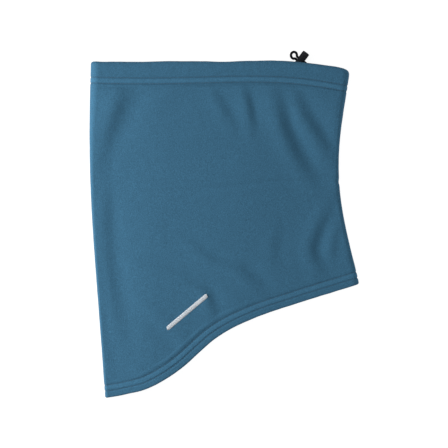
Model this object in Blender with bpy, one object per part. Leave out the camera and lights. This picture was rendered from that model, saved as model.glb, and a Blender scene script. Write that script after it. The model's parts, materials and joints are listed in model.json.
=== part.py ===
"""A fleece neck gaiter with a drawcord, lying flat on a table.

The gaiter is one piece of fleece, folded at the centre front (-X) and seamed at the centre back (+X).
+Y points to the top edge and +Z up from the table. The origin is on the table, under the middle of the
cloth. Metres.
"""

import math

import bmesh
import bpy
from mathutils import Matrix, Vector

# Outline of the cloth, lying flat
TOP_WIDTH = 0.2741  # front fold to back seam, along the top edge
FRONT_LENGTH = 0.3569  # top edge to the tip of the bib, down the front fold
BACK_LENGTH = 0.2268  # top edge to the hem, down the back seam
BACK_DROP = 0.0094  # the back end of the top edge lies this much lower than the front end
FRONT_TAPER = 0.0153  # the tip of the bib stands in from the top corner
BACK_FLARE = 0.0107  # the back corner of the hem stands out from the top corner
TOP_CROWN = 0.0072  # rise of the top edge over the straight line between its ends
FRONT_BULGE = 0.0056  # the front fold bows out
FRONT_BULGE_SKEW = 0.0013  # and does so more near the top
BACK_WAIST = 0.0162  # the back seam bows in
BACK_WAIST_POWER = 1.15
# The hem's sweep from the bib's tip to the back corner, as shares of its width and of its rise.
HEM_SWEEP = (
    (0.0, 0.0),
    (0.081, 0.034),
    (0.176, 0.094),
    (0.294, 0.253),
    (0.437, 0.530),
    (0.579, 0.697),
    (0.769, 0.842),
    (1.0, 1.0),
)

# Cloth, hems and thread
FLEECE = 0.0016  # thickness of one layer
GAP = 0.0003  # air left between neighbouring pieces
CASING_DEPTH = 0.0250  # the top edge is turned in this far
CASING_STITCH = (0.0170, 0.0233)  # the two needle lines, from the top edge
HEM_DEPTH = 0.0150  # the bottom edge is turned up this far
HEM_STITCH = (0.0071, 0.0134)  # the two needle lines, from the bottom edge
THREAD = 0.0005  # diameter of the sewing thread
GROOVE_HALF_WIDTH = 0.0009  # the groove that a needle line pulls into the pile
SEAM_ALLOWANCE = 0.0080  # width of the two edges overlocked together down the back
LIP = 0.0008  # the body runs this far past each fold, and the facing goes on from there

# How the cloth lies
TOP_LOFT = 0.0210  # height of the gaiter at its casing
BODY_LOFT = 0.0140  # height of the rest
REAR_SLIP = 0.0150  # the rear layer's top edge lies lower than the front's, by the cord lock

# Drawcord and cord lock
CORD = 0.0025  # diameter of the elastic cord
CORD_INSET = 0.0090  # the cord runs this far below the top edge, inside the casing
LOCK_ALONG = 0.8097  # the lock's place along the top edge, as a share of TOP_WIDTH
LOCK_RISE = 0.0021  # its cord slot stands this far above the front layer's top edge
LOCK_ANGLE = math.radians(53.13)  # lean of the barrel's axis from +X
BARREL_RADIUS = 0.0040
BARREL_WALL = 0.00080
BARREL_ABOVE = 0.0107  # closed end of the barrel, from the middle of the cord slot
BARREL_BELOW = 0.0046  # open end
BUTTON_TRAVEL = 0.0022
BUTTON_RADIUS = 0.0036
BUTTON_THICKNESS = 0.0027
SPRING_WIRE = 0.00035
SPRING_TURNS = 4.5
PLUNGER_END = 0.0012  # solid end of the plunger, between its slot and the spring
BUTTONHOLE_LENGTH = 0.0088  # clear length of each stitched hole
BUTTONHOLE_WIDTH = 0.0034
BUTTONHOLE_STITCH = 0.0009  # width of the stitching round it
BUTTONHOLE_OFFSETS = (-0.0005, 0.0240)  # the holes' middles along X, from the lock's slot

# Trim
LABEL_SIZE = (0.030, 0.022, 0.0005)  # blank care label
LABEL_BELOW_TOP = 0.108
BAR_SIZE = (0.056, 0.0046, 0.0006)  # plain embroidered bar
BAR_PLACE = (-0.0396, -0.0874)  # its middle, from the middle of the gaiter
BAR_ANGLE = math.radians(40)

# The free cord. The two strands lie side by side through the lock, and make a round loop beyond it.
STRAND = 0.0014  # each strand's distance from the slot's middle
STRAIGHT = 0.0100  # the strands run straight this far towards the holes
LOOP_REACH = 0.0089  # the round loop's middle, from the lock's
LOOP_LEAN = 0.0012  # and this far towards the barrel's closed end
LOOP_RADIUS = 0.0034
# The strands from the lock to the loop: (distance from the lock's middle, distance from the slot's middle).
LOOP_NECK = ((0.0043, STRAND), (0.0053, 0.0015))
LOOP_TURNS = (135, 110, 75, 40, 0)  # degrees of the loop's points, from its far end
# From the lock to the first and the second hole: (X and Y from the slot's middle, height above the table).
ROUTE_A = (
    (0.0097, -0.0092, 0.0034),
    (0.0112, -0.0124, 0.0025),
    (0.0115, -0.0164, 0.00155),
    (0.0104, -0.0206, 0.00145),
    (0.0077, -0.0243, 0.00145),
)
ROUTE_B = (
    (0.0128, -0.0078, 0.0034),
    (0.0148, -0.0114, 0.0024),
    (0.0153, -0.0160, 0.00155),
    (0.0154, -0.0200, 0.00145),
    (0.0166, -0.0231, 0.00145),
)
# The climb through a hole into the casing: (share of the hole's length past its middle, share of the rise).
HOLE_CLIMB = ((-0.62, 0.0), (-0.36, 0.05), (0.0, 0.5), (0.36, 0.95), (0.62, 1.0))

# Fineness of the mesh
FACE_COLUMNS = 16
FOLD_STEPS = 6
BODY_ROWS = 7
TURNED_SIDES = 32
CORD_STEP = 0.0018  # between two rings of the free cord
HALVINGS = 30  # of a range that is searched for a station

CASING = 2 * FLEECE + CORD + 2 * GAP  # thickness of the casing
HEM = 2 * FLEECE + GAP  # thickness of the hem
TUNNEL_DEPTH = FLEECE + GAP + CORD / 2  # the cord's middle, below the outer surface
CORD_LIFT = CORD + 4 * GAP  # the rear casing is held this far off the table by the cord under it
TOP_ZONE = CASING_DEPTH + 0.005
HEM_ZONE = HEM_DEPTH + 0.005

FLEECE_BLUE = (0.050, 0.135, 0.205)
THREAD_BLUE = (0.040, 0.110, 0.170)
CORD_BLACK = (0.012, 0.012, 0.014)
PLASTIC_BLACK = (0.016, 0.017, 0.020)
LABEL_WHITE = (0.80, 0.80, 0.78)
BAR_GREY = (0.70, 0.74, 0.78)
STEEL = (0.62, 0.62, 0.62)


def smooth_step(low, high, value):
    share = min(1.0, max(0.0, (value - low) / (high - low)))
    return share * share * (3 - 2 * share)


def through(points, share):
    """The point at a share from 0 to 1 along a smooth curve through points."""
    spans = len(points) - 1
    at = min(max(share, 0.0), 1.0) * spans
    i = min(int(at), spans - 1)
    t = at - i
    p1, p2 = Vector(points[i]), Vector(points[i + 1])
    p0 = Vector(points[i - 1]) if i else 2 * p1 - p2
    p3 = Vector(points[i + 2]) if i + 2 <= spans else 2 * p2 - p1
    return 0.5 * (
        2 * p1
        + (p2 - p0) * t
        + (2 * p0 - 5 * p1 + 4 * p2 - p3) * t * t
        + (3 * p1 - p0 - 3 * p2 + p3) * t * t * t
    )


# The flat cloth. f is the share of the width from the front fold (0) to the back seam (1). A row runs from
# the top edge to the hem: 0 to 1 is the casing zone, 1 to 2 the body, and 2 to 3 the hem zone.
def from_top(distance):
    return distance / TOP_ZONE


def from_hem(distance):
    return 3 - distance / HEM_ZONE


def corners():
    """Front top, back top, back hem and bib tip, before the outline is centred."""
    front_top = Vector((0, 0))
    back_top = Vector((TOP_WIDTH, -BACK_DROP))
    back_hem = back_top + Vector((BACK_FLARE, -BACK_LENGTH))
    bib_tip = Vector((FRONT_TAPER, -FRONT_LENGTH))
    return front_top, back_top, back_hem, bib_tip


def top_edge(f):
    front_top, back_top, _, _ = corners()
    return front_top.lerp(back_top, f) + Vector((0, TOP_CROWN * math.sin(math.pi * f * f)))


def hem_edge(f):
    _, _, back_hem, bib_tip = corners()
    share = through(HEM_SWEEP, f)
    return bib_tip + Vector((share.x * (back_hem - bib_tip).x, share.y * (back_hem - bib_tip).y))


def front_fold(q):
    front_top, _, _, bib_tip = corners()
    bow = FRONT_BULGE * math.sin(math.pi * q) + FRONT_BULGE_SKEW * math.sin(2 * math.pi * q)
    return front_top.lerp(bib_tip, q) - Vector((bow, 0))


def back_seam(q):
    _, back_top, back_hem, _ = corners()
    bow = BACK_WAIST * max(0.0, math.sin(math.pi * q)) ** BACK_WAIST_POWER
    return back_top.lerp(back_hem, q) - Vector((bow, 0))


def below_top(f, distance):
    front = front_fold(distance / FRONT_LENGTH) - front_fold(0)
    back = back_seam(distance / BACK_LENGTH) - back_seam(0)
    return top_edge(f) + front.lerp(back, f)


def above_hem(f, distance):
    """A point at that distance inside the hem's edge, square to it, and along the folds at its two ends."""
    step = 0.005
    along = (hem_edge(min(1, f + step)) - hem_edge(max(0, f - step))).normalized()
    inward = Vector((-along.y, along.x)) * distance
    front = front_fold(1 - distance / FRONT_LENGTH) - front_fold(1)
    back = back_seam(1 - distance / BACK_LENGTH) - back_seam(1)
    inward = inward.lerp(front, 1 - smooth_step(0.0, 0.15, f))
    inward = inward.lerp(back, smooth_step(0.85, 1.0, f))
    return hem_edge(f) + inward


def uncentred(f, row):
    if row <= 1:
        return below_top(f, row * TOP_ZONE)
    if row >= 2:
        return above_hem(f, (3 - row) * HEM_ZONE)
    g = row - 1
    high, low = below_top, above_hem
    top_front, top_back = high(0, TOP_ZONE), high(1, TOP_ZONE)
    hem_front, hem_back = low(0, HEM_ZONE), low(1, HEM_ZONE)
    front_q = (TOP_ZONE + g * (FRONT_LENGTH - TOP_ZONE - HEM_ZONE)) / FRONT_LENGTH
    back_q = (TOP_ZONE + g * (BACK_LENGTH - TOP_ZONE - HEM_ZONE)) / BACK_LENGTH
    across = high(f, TOP_ZONE).lerp(low(f, HEM_ZONE), g)
    down = front_fold(front_q).lerp(back_seam(back_q), f)
    both = top_front.lerp(top_back, f).lerp(hem_front.lerp(hem_back, f), g)
    return across + down - both


def outline_middle():
    steps = 200
    curves = (top_edge, hem_edge, front_fold, back_seam)
    edge = [curve(i / steps) for curve in curves for i in range(steps + 1)]
    xs = [p.x for p in edge]
    ys = [p.y for p in edge]
    return Vector(((min(xs) + max(xs)) / 2, (min(ys) + max(ys)) / 2))


MIDDLE = outline_middle()


def flat(f, row):
    return uncentred(f, row) - MIDDLE


# The flattened tube. A station is a place round it: (share along the straight stretch between the folds'
# centres, outward part, upward part). The last two are the direction that the outer surface faces there.
def rear_height(along, row):
    """Height of the rear layer's outer surface, which the cord under it lifts off the table."""
    return CORD_LIFT * smooth_step(0.3, 0.7, along) * (1 - smooth_step(0.9, 1.3, row))


def rear_slip(along, row):
    """How far the rear layer has slipped down beside the cord lock. It has not at either fold."""
    power = math.log(0.5) / math.log(LOCK_ALONG + 0.03)
    return REAR_SLIP * math.sin(math.pi * min(1.0, along) ** power) * (1 - smooth_step(1.0, 1.6, row))


def front_height(row):
    return TOP_LOFT + (BODY_LOFT - TOP_LOFT) * smooth_step(1.0, 1.25, row)


def place(station, row, depth):
    """The point that lies depth inside the outer surface, at a station and a row."""
    along, outward, upward = station
    width = (flat(1, row) - flat(0, row)).length
    half = (front_height(row) - rear_height(along, row)) / 2
    inset = half + along * (width - 2 * half) + outward * (half - depth)
    f = inset / width
    spot = flat(f, row)
    slip = rear_slip(along, row) * (1 - upward) / 2
    height = rear_height(along, row) + half + upward * (half - depth)
    return Vector((spot.x, spot.y - slip, height))


def fold_stations(side):
    """Stations round a fold, from the front layer to the rear. side is -1 for the front fold."""
    along = 0.0 if side < 0 else 1.0
    turns = [math.pi * (0.5 - i / FOLD_STEPS) for i in range(FOLD_STEPS + 1)]
    return [(along, side * math.cos(t), math.sin(t)) for t in turns]


def face_stations(upward):
    return [(i / FACE_COLUMNS, 0.0, upward) for i in range(1, FACE_COLUMNS)]


def allowance_edge():
    """The station where the back seam's allowance ends, on the rear layer."""
    return (1 - SEAM_ALLOWANCE / 2 / (TOP_WIDTH - TOP_LOFT), 0.0, -1.0)


def all_stations():
    """Round the tube: the front layer, the back fold, the rear layer, the front fold."""
    rear = [allowance_edge()] + face_stations(-1.0)[::-1]
    return face_stations(1.0) + fold_stations(1) + rear + fold_stations(-1)[::-1]


# Mesh helpers
def material(name, colour, roughness, metallic=0.0):
    made = bpy.data.materials.get(name) or bpy.data.materials.new(name)
    made.use_nodes = True
    shader = made.node_tree.nodes["Principled BSDF"]
    shader.inputs["Base Color"].default_value = (*colour, 1)
    shader.inputs["Roughness"].default_value = roughness
    shader.inputs["Metallic"].default_value = metallic
    return made


def add_object(name, data, finish, parent=None):
    made = bpy.data.objects.new(name, data)
    data.materials.append(finish)
    bpy.context.scene.collection.objects.link(made)
    made.parent = parent
    return made


def mesh_of(name, build, smooth=True):
    """A mesh that build(bm) fills, with its faces pointing out."""
    bm = bmesh.new()
    build(bm)
    bmesh.ops.recalc_face_normals(bm, faces=bm.faces)
    mesh = bpy.data.meshes.new(name)
    bm.to_mesh(mesh)
    bm.free()
    if smooth:
        mesh.shade_smooth()
        mesh.set_sharp_from_angle(angle=math.radians(40))
    return mesh


def bridge(bm, rings, closed):
    """Faces between each ring of points and the next. An open run of rings gets its two ends filled."""
    loops = [[bm.verts.new(point) for point in ring] for ring in rings]
    pairs = list(zip(loops, loops[1:]))
    if closed:
        pairs.append((loops[-1], loops[0]))
    else:
        bm.faces.new(loops[0])
        bm.faces.new(loops[-1])
    for one, other in pairs:
        for i in range(len(one)):
            j = (i + 1) % len(one)
            bm.faces.new((one[i], one[j], other[j], other[i]))


def sweep_round(name, section, finish):
    """A ring of cloth or thread: section, a closed list of (row, depth), taken round the whole tube."""
    rings = [[place(station, row, depth) for row, depth in section] for station in all_stations()]
    return add_object(name, mesh_of(name, lambda bm: bridge(bm, rings, True)), finish)


def sweep_down(name, section, rows, finish):
    """A strip down the cloth: section, a closed list of (station, depth), taken through rows."""
    rings = [[place(station, row, depth) for station, depth in section] for row in rows]
    return add_object(name, mesh_of(name, lambda bm: bridge(bm, rings, False)), finish)


def turned(name, profile, finish, parent, sides=TURNED_SIDES):
    """A round piece about its own Z axis. profile is (radius, height), from the axis round to the axis."""

    def build(bm):
        rings = []
        for radius, height in profile:
            if radius == 0:
                rings.append([bm.verts.new((0, 0, height))])
                continue
            turns = [2 * math.pi * i / sides for i in range(sides)]
            spots = [(radius * math.cos(t), radius * math.sin(t), height) for t in turns]
            rings.append([bm.verts.new(spot) for spot in spots])
        for one, other in zip(rings, rings[1:]):
            for i in range(sides):
                j = (i + 1) % sides
                corner = [one[i % len(one)], one[j % len(one)]]
                corner += [other[j % len(other)], other[i % len(other)]]
                bm.faces.new(list(dict.fromkeys(corner)))

    return add_object(name, mesh_of(name, build), finish, parent)


def racetrack(length, width, steps=6):
    """Outline of a slot with round ends, along X, about the origin."""
    radius = width / 2
    points = []
    for end in (1, -1):
        for i in range(steps + 1):
            angle = math.pi * (i / steps - 0.5)
            x = end * ((length / 2 - radius) + radius * math.cos(angle))
            points.append((x, end * radius * math.sin(angle)))
    return points


def slot_prism(name, length, width, low, high, finish, hole=None):
    """A racetrack-shaped block from low to high, with hole, (length, width), left open through it."""
    outer = racetrack(length, width)

    def build(bm):
        if hole is None:
            bridge(bm, [[(x, y, low) for x, y in outer], [(x, y, high) for x, y in outer]], False)
            return
        inner = racetrack(*hole)
        rings = [(outer, low), (outer, high), (inner, high), (inner, low)]
        bridge(bm, [[(x, y, z) for x, y in shape] for shape, z in rings], True)

    return add_object(name, mesh_of(name, build), finish)


def cut(body, cutter):
    cutter.hide_render = True
    cutter.display_type = "WIRE"
    modifier = body.modifiers.new(cutter.name, "BOOLEAN")
    modifier.operation = "DIFFERENCE"
    modifier.solver = "EXACT"
    modifier.object = cutter


def tube(name, points, diameter, finish, parent=None, closed=False, resolution=2):
    curve = bpy.data.curves.new(name, "CURVE")
    curve.dimensions = "3D"
    curve.bevel_depth = diameter / 2
    curve.bevel_resolution = resolution
    curve.use_fill_caps = not closed
    spline = curve.splines.new("POLY")
    spline.points.add(len(points) - 1)
    for spot, point in zip(spline.points, points):
        spot.co = (*point, 1)
    spline.use_cyclic_u = closed
    return add_object(name, curve, finish, parent)


# Fleece
def body_rows():
    return [1 + i / BODY_ROWS for i in range(BODY_ROWS + 1)]


def groove(to_row, distance):
    """The groove of one needle line in the outer surface, in order of growing distance."""
    floor_depth = GAP + THREAD + GAP
    floor_half = THREAD / 2 + GAP
    return [
        (to_row(distance - GROOVE_HALF_WIDTH), 0),
        (to_row(distance - floor_half), floor_depth),
        (to_row(distance + floor_half), floor_depth),
        (to_row(distance + GROOVE_HALF_WIDTH), 0),
    ]


def fold_arc(to_row, thickness, inset, steps):
    """A half circle over a folded edge, from the outer surface to the inner, inset inside it."""
    middle = thickness / 2
    radius = middle - inset
    turns = [math.pi * i / steps for i in range(steps + 1)]
    return [(to_row(middle - radius * math.sin(t)), middle - radius * math.cos(t)) for t in turns]


def fleece_body(finish):
    rows = body_rows()
    top_lip = from_top(CASING / 2 + LIP)
    hem_lip = from_hem(HEM / 2 + LIP)
    outer = fold_arc(from_top, CASING, 0, 6)[::-1]
    for distance in CASING_STITCH:
        outer += groove(from_top, distance)
    outer += [(row, 0) for row in rows]
    for distance in HEM_STITCH[::-1]:
        outer += groove(from_hem, distance)[::-1]
    outer += fold_arc(from_hem, HEM, 0, 4)
    inner = [(hem_lip, HEM), (hem_lip, HEM - FLEECE)]
    inner += fold_arc(from_hem, HEM, FLEECE, 2)[::-1]
    inner += [(row, FLEECE) for row in rows[::-1]]
    inner += fold_arc(from_top, CASING, FLEECE, 4)
    inner += [(top_lip, CASING - FLEECE), (top_lip, CASING)]
    return sweep_round("fleece_body", outer + inner, finish)


def casing_facing(finish):
    """The turned-in top edge, which leaves a tunnel for the cord above the stitching."""
    start = CASING / 2 + LIP + GAP
    tunnel_end = CASING_STITCH[0] - 0.003
    flat_start = CASING_STITCH[0] - 0.0005
    shoulder = FLEECE / 3
    section = [
        (start, CASING),
        (tunnel_end, CASING),
        (flat_start, HEM),
        (CASING_DEPTH, HEM),
        (CASING_DEPTH, HEM - FLEECE),
        (flat_start - shoulder, HEM - FLEECE),
        (tunnel_end - shoulder, CASING - FLEECE),
        (start, CASING - FLEECE),
    ]
    return sweep_round("top_casing_facing", [(from_top(d), n) for d, n in section], finish)


def hem_facing(finish):
    start = HEM / 2 + LIP + GAP
    section = [(start, HEM), (HEM_DEPTH, HEM), (HEM_DEPTH, HEM - FLEECE), (start, HEM - FLEECE)]
    return sweep_round("bottom_hem_facing", [(from_hem(d), n) for d, n in section], finish)


def seam_rows():
    return [from_top(CASING_DEPTH + 2 * GAP), *body_rows(), from_hem(HEM_DEPTH + 2 * GAP)]


def seam_allowance(finish):
    """The two cut edges of the back seam, laid together against the rear layer inside the back fold."""
    fold = fold_stations(1)[FOLD_STEPS // 2 + 1 :]
    edge = allowance_edge()
    near, far = FLEECE + GAP, FLEECE + GAP + 2 * FLEECE
    section = [(s, near) for s in [*fold, edge]] + [(s, far) for s in [edge, *fold[::-1]]]
    return sweep_down("back_seam_allowance", section, seam_rows(), finish)


# Thread
def needle_thread(name, row, finish):
    """One needle line, sunk in its groove."""
    radius = THREAD / 2
    middle = GAP + radius
    to_row = TOP_ZONE if row < 1.5 else HEM_ZONE
    turns = [2 * math.pi * i / 6 for i in range(6)]
    section = [(row + radius * math.cos(t) / to_row, middle + radius * math.sin(t)) for t in turns]
    return sweep_round(name, section, finish)


def looper_thread(name, rows, finish):
    """The zigzag on the inside that ties the two needle lines together."""
    depth = HEM + 2 * GAP + THREAD / 2
    points = []
    stations = all_stations()
    for i, station in enumerate(stations):
        following = stations[(i + 1) % len(stations)]
        points.append(place(station, rows[0], depth))
        halfway = tuple((a + b) / 2 for a, b in zip(station, following))
        size = math.hypot(halfway[1], halfway[2])
        halfway = (halfway[0], halfway[1] / size, halfway[2] / size)
        points.append(place(halfway, rows[1], depth))
    return tube(name, points, THREAD, finish, closed=True, resolution=1)


def overlock_thread(finish):
    """The thread along the free edge of the back seam's allowance."""
    depth = 2 * FLEECE + GAP
    aside = Vector((2 * GAP + THREAD / 2, 0, 0))
    clear = 2 * GAP + THREAD
    rows = [from_top(CASING_DEPTH + clear), *body_rows(), from_hem(HEM_DEPTH + clear)]
    points = [place(allowance_edge(), row, depth) - aside for row in rows]
    return tube("back_seam_overlock_thread", points, THREAD, finish, resolution=1)


# Drawcord and cord lock
def lock_middle():
    """The middle of the lock's cord slot, with the barrel lying on the table."""
    edge = flat(LOCK_ALONG, 0)
    return Vector((edge.x, edge.y + LOCK_RISE, BARREL_RADIUS + GAP / 3))


def lock_frame():
    """The lock's own axes: X along the cord, Y up, Z along the barrel towards its closed end."""
    along = Vector((math.cos(LOCK_ANGLE), math.sin(LOCK_ANGLE), 0))
    up = Vector((0, 0, 1))
    cord = up.cross(along)
    frame = Matrix((cord, up, along)).transposed().to_4x4()
    frame.translation = lock_middle()
    return frame


def rear_station(x):
    """The station on the rear casing whose X is x, found by halving."""
    low, high = 0.0, 1.0
    for _ in range(HALVINGS):
        along = (low + high) / 2
        if place((along, 0.0, -1.0), from_top(CORD_INSET), 0).x < x:
            low = along
        else:
            high = along
    return (low + high) / 2


def buttonhole_middles():
    """The two holes' middles in the rear casing's outer surface."""
    places = [rear_station(lock_middle().x + offset) for offset in BUTTONHOLE_OFFSETS]
    return [place((along, 0.0, -1.0), from_top(CORD_INSET), 0) for along in places]


def make_buttonholes(body, thread_finish):
    stitch = BUTTONHOLE_STITCH
    clear = (BUTTONHOLE_LENGTH, BUTTONHOLE_WIDTH)
    outer = [size + 2 * stitch for size in clear]
    hole = [size + 2 * GAP for size in outer]
    for letter, middle in zip("ab", buttonhole_middles()):
        cutter = slot_prism(f"cutter_{letter}", *hole, -CORD_LIFT / 2, FLEECE + CORD / 2, thread_finish)
        cutter.location = middle
        cut(body, cutter)
        ring_name = f"buttonhole_thread_{letter}"
        ring = slot_prism(ring_name, *outer, -GAP, FLEECE, thread_finish, clear)
        ring.location = middle


def loop_points():
    """The loop beyond the lock, from one strand round to the other, sinking to the table."""
    turns = [math.radians(angle) for angle in LOOP_TURNS]
    bend = [(LOOP_REACH + LOOP_RADIUS * math.cos(t), LOOP_RADIUS * math.sin(t)) for t in turns]
    half = list(LOOP_NECK) + bend
    both = [(x, -z) for x, z in half] + half[-2::-1]
    start = LOOP_NECK[0][0]
    reach = LOOP_REACH + LOOP_RADIUS - start
    drop = lock_middle().z - CORD / 2 - GAP / 3
    shares = [(x - start) / reach for x, _ in both]
    spots = [(x, -drop * share, z + LOOP_LEAN * share) for (x, z), share in zip(both, shares)]
    return [lock_frame() @ Vector(spot) for spot in spots]


def strand_points(side):
    """The straight stretch through the lock, from the loop towards the holes."""
    stations = (0.0020, -0.0020, -0.0060, -STRAIGHT)
    return [lock_frame() @ Vector((x, 0, side * STRAND)) for x in stations]


def route_points(offsets):
    middle = lock_middle()
    return [Vector((middle.x + x, middle.y + y, z)) for x, y, z in offsets]


def hole_points(middle, heading):
    """Through a hole from under the casing into the tunnel, heading along X."""
    under, inside = ROUTE_A[-1][2], middle.z + TUNNEL_DEPTH
    points = []
    for along, up in HOLE_CLIMB:
        x = middle.x + heading * along * BUTTONHOLE_LENGTH
        points.append(Vector((x, middle.y, under + up * (inside - under))))
    return points


def free_cord_route():
    first, second = buttonhole_middles()
    one = strand_points(-1) + route_points(ROUTE_A) + hole_points(first, -1)
    other = strand_points(1) + route_points(ROUTE_B) + hole_points(second, 1)
    return one[::-1] + loop_points() + other


def cord_points(route):
    """Points along the smooth curve through route, about CORD_STEP apart."""
    steps = 2000
    dense = [through(route, i / steps) for i in range(steps + 1)]
    kept, run = [dense[0]], 0.0
    for one, other in zip(dense, dense[1:]):
        run += (other - one).length
        if run >= CORD_STEP:
            kept.append(other)
            run = 0.0
    kept[-1] = dense[-1]
    return kept


def hidden_cord(name, start, past, finish):
    """A run inside the casing from the X where the free cord ends, past stations, to the back seam."""
    picked = [(rear_station(start), 0.0, -1.0), *past]
    points = [place(station, from_top(CORD_INSET), TUNNEL_DEPTH) for station in picked]
    return tube(name, points, CORD, finish)


def hidden_cords(finish):
    """The long run goes round by the front fold, and the short one straight to the back seam."""
    free = free_cord_route()
    rear = [(0.0, 0.0, -1.0), *face_stations(-1.0), (1.0, 0.0, -1.0)]
    clear = 1 / FACE_COLUMNS / 4  # so that no two stations lie too close together
    middle_of_fold = FOLD_STEPS // 2
    start = free[0].x - 3 * GAP
    west = [s for s in rear[::-1] if s[0] < rear_station(start) - clear]
    west += fold_stations(-1)[::-1][1:] + face_stations(1.0) + fold_stations(1)[:middle_of_fold]
    hidden_cord("drawcord_long_run", start, west, finish)
    start = free[-1].x + 3 * GAP
    east = [s for s in rear if s[0] > rear_station(start) + clear]
    east += fold_stations(1)[::-1][1:middle_of_fold]
    hidden_cord("drawcord_short_run", start, east, finish)


def lock_barrel(parent, finish):
    bore = BARREL_RADIUS - BARREL_WALL
    round_off = 0.0009
    profile = [
        (0, BARREL_ABOVE),
        (BARREL_RADIUS - round_off, BARREL_ABOVE),
        (BARREL_RADIUS - round_off * 0.3, BARREL_ABOVE - round_off * 0.3),
        (BARREL_RADIUS, BARREL_ABOVE - round_off),
        (BARREL_RADIUS, -BARREL_BELOW),
        (bore, -BARREL_BELOW),
        (bore, BARREL_ABOVE - BARREL_WALL - GAP),
        (0, BARREL_ABOVE - BARREL_WALL - GAP),
    ]
    barrel = turned("lock_barrel", profile, finish, parent)
    cutter = cord_slot("cutter_barrel", -slot_reach(), slot_reach(), parent, finish)
    cut(barrel, cutter)
    return barrel


def slot_reach():
    """Half the length of the barrel's slot along its axis, which both strands pass."""
    return STRAND + CORD / 2 + GAP


def cord_slot(name, low, high, parent, finish):
    """A square-cut slot across the lock, along the cord, from low to high on the barrel's axis."""
    half_height = CORD / 2 + GAP
    reach = 2 * BARREL_RADIUS

    section = ((-half_height, low), (half_height, low), (half_height, high), (-half_height, high))

    def build(bm):
        bridge(bm, [[(x, y, z) for y, z in section] for x in (-reach, reach)], False)

    return add_object(name, mesh_of(name, build, smooth=False), finish, parent)


def lock_plunger(parent, finish):
    stem = BARREL_RADIUS - BARREL_WALL - GAP
    head_face = -BARREL_BELOW - BUTTON_TRAVEL - GAP
    inner_end = slot_reach() + PLUNGER_END
    round_off = 0.0008
    profile = [
        (0, inner_end),
        (stem, inner_end),
        (stem, head_face),
        (BUTTON_RADIUS, head_face),
        (BUTTON_RADIUS, head_face - BUTTON_THICKNESS + round_off),
        (BUTTON_RADIUS - round_off * 0.3, head_face - BUTTON_THICKNESS + round_off * 0.3),
        (BUTTON_RADIUS - round_off, head_face - BUTTON_THICKNESS),
        (0, head_face - BUTTON_THICKNESS),
    ]
    plunger = turned("lock_plunger", profile, finish, parent)
    cutter = cord_slot("cutter_plunger", -slot_reach() - BUTTON_TRAVEL, slot_reach(), parent, finish)
    cut(plunger, cutter)
    return plunger


def lock_spring(parent, finish):
    """The compression spring between the plunger's end and the barrel's closed end."""
    radius = BARREL_RADIUS - BARREL_WALL - GAP - 3 * SPRING_WIRE
    low = slot_reach() + PLUNGER_END + GAP + SPRING_WIRE / 2
    high = BARREL_ABOVE - BARREL_WALL - 2 * GAP - SPRING_WIRE / 2
    steps = round(SPRING_TURNS * 12)
    points = []
    for i in range(steps + 1):
        angle = 2 * math.pi * SPRING_TURNS * i / steps
        points.append((radius * math.cos(angle), radius * math.sin(angle), low + (high - low) * i / steps))
    return tube("lock_spring", points, SPRING_WIRE, finish, parent, resolution=1)


# Trim
def care_label(finish):
    """A blank label, sewn in at the back seam's allowance and lying on the rear layer."""
    length, width, thickness = LABEL_SIZE
    row = 1 + (LABEL_BELOW_TOP - TOP_ZONE) / (BACK_LENGTH - TOP_ZONE - HEM_ZONE)
    edge = place(allowance_edge(), row, FLEECE) - Vector((2 * THREAD + 4 * GAP, 0, 0))

    def build(bm):
        bmesh.ops.create_cube(bm, size=1)
        bmesh.ops.scale(bm, vec=(length, width, thickness), verts=bm.verts)

    label = add_object("care_label", mesh_of("care_label", build, smooth=False), finish)
    label.location = (edge.x - length / 2, edge.y, edge.z + GAP + thickness / 2)
    return label


def embroidered_bar(finish):
    length, width, thickness = BAR_SIZE
    bar = slot_prism("embroidered_bar", length, width, 0, thickness, finish)
    bar.location = (*BAR_PLACE, BODY_LOFT + GAP)
    bar.rotation_euler.z = BAR_ANGLE
    return bar


def clear_scene():
    for thing in list(bpy.data.objects):
        bpy.data.objects.remove(thing)


def main():
    clear_scene()
    fleece = material("fleece", FLEECE_BLUE, 0.95)
    thread = material("thread", THREAD_BLUE, 0.75)
    elastic = material("elastic_cord", CORD_BLACK, 0.8)
    plastic = material("lock_plastic", PLASTIC_BLACK, 0.35)
    steel = material("spring_steel", STEEL, 0.3, 1.0)
    satin = material("label_satin", LABEL_WHITE, 0.5)
    stitching = material("bar_thread", BAR_GREY, 0.45)

    body = fleece_body(fleece)
    casing_facing(fleece)
    hem_facing(fleece)
    seam_allowance(fleece)

    casing_rows = [from_top(d) for d in CASING_STITCH]
    hem_rows = [from_hem(d) for d in HEM_STITCH]
    needle_thread("casing_needle_thread_upper", casing_rows[0], thread)
    needle_thread("casing_needle_thread_lower", casing_rows[1], thread)
    needle_thread("hem_needle_thread_lower", hem_rows[0], thread)
    needle_thread("hem_needle_thread_upper", hem_rows[1], thread)
    looper_thread("casing_looper_thread", casing_rows, thread)
    looper_thread("hem_looper_thread", hem_rows, thread)
    overlock_thread(thread)
    make_buttonholes(body, thread)

    hidden_cords(elastic)
    tube("drawcord_loop", cord_points(free_cord_route()), CORD, elastic)
    lock = bpy.data.objects.new("lock_frame", None)
    bpy.context.scene.collection.objects.link(lock)
    lock.matrix_world = lock_frame()
    lock_barrel(lock, plastic)
    lock_plunger(lock, plastic)
    lock_spring(lock, steel)

    care_label(satin)
    embroidered_bar(stitching)


main()
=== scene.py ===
"""The looks of a fleece neck gaiter that lies flat on a table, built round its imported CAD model. Metres."""

import json
import math

import bmesh
import bpy
import numpy as np
from mathutils import Matrix, Vector, noise

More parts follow.
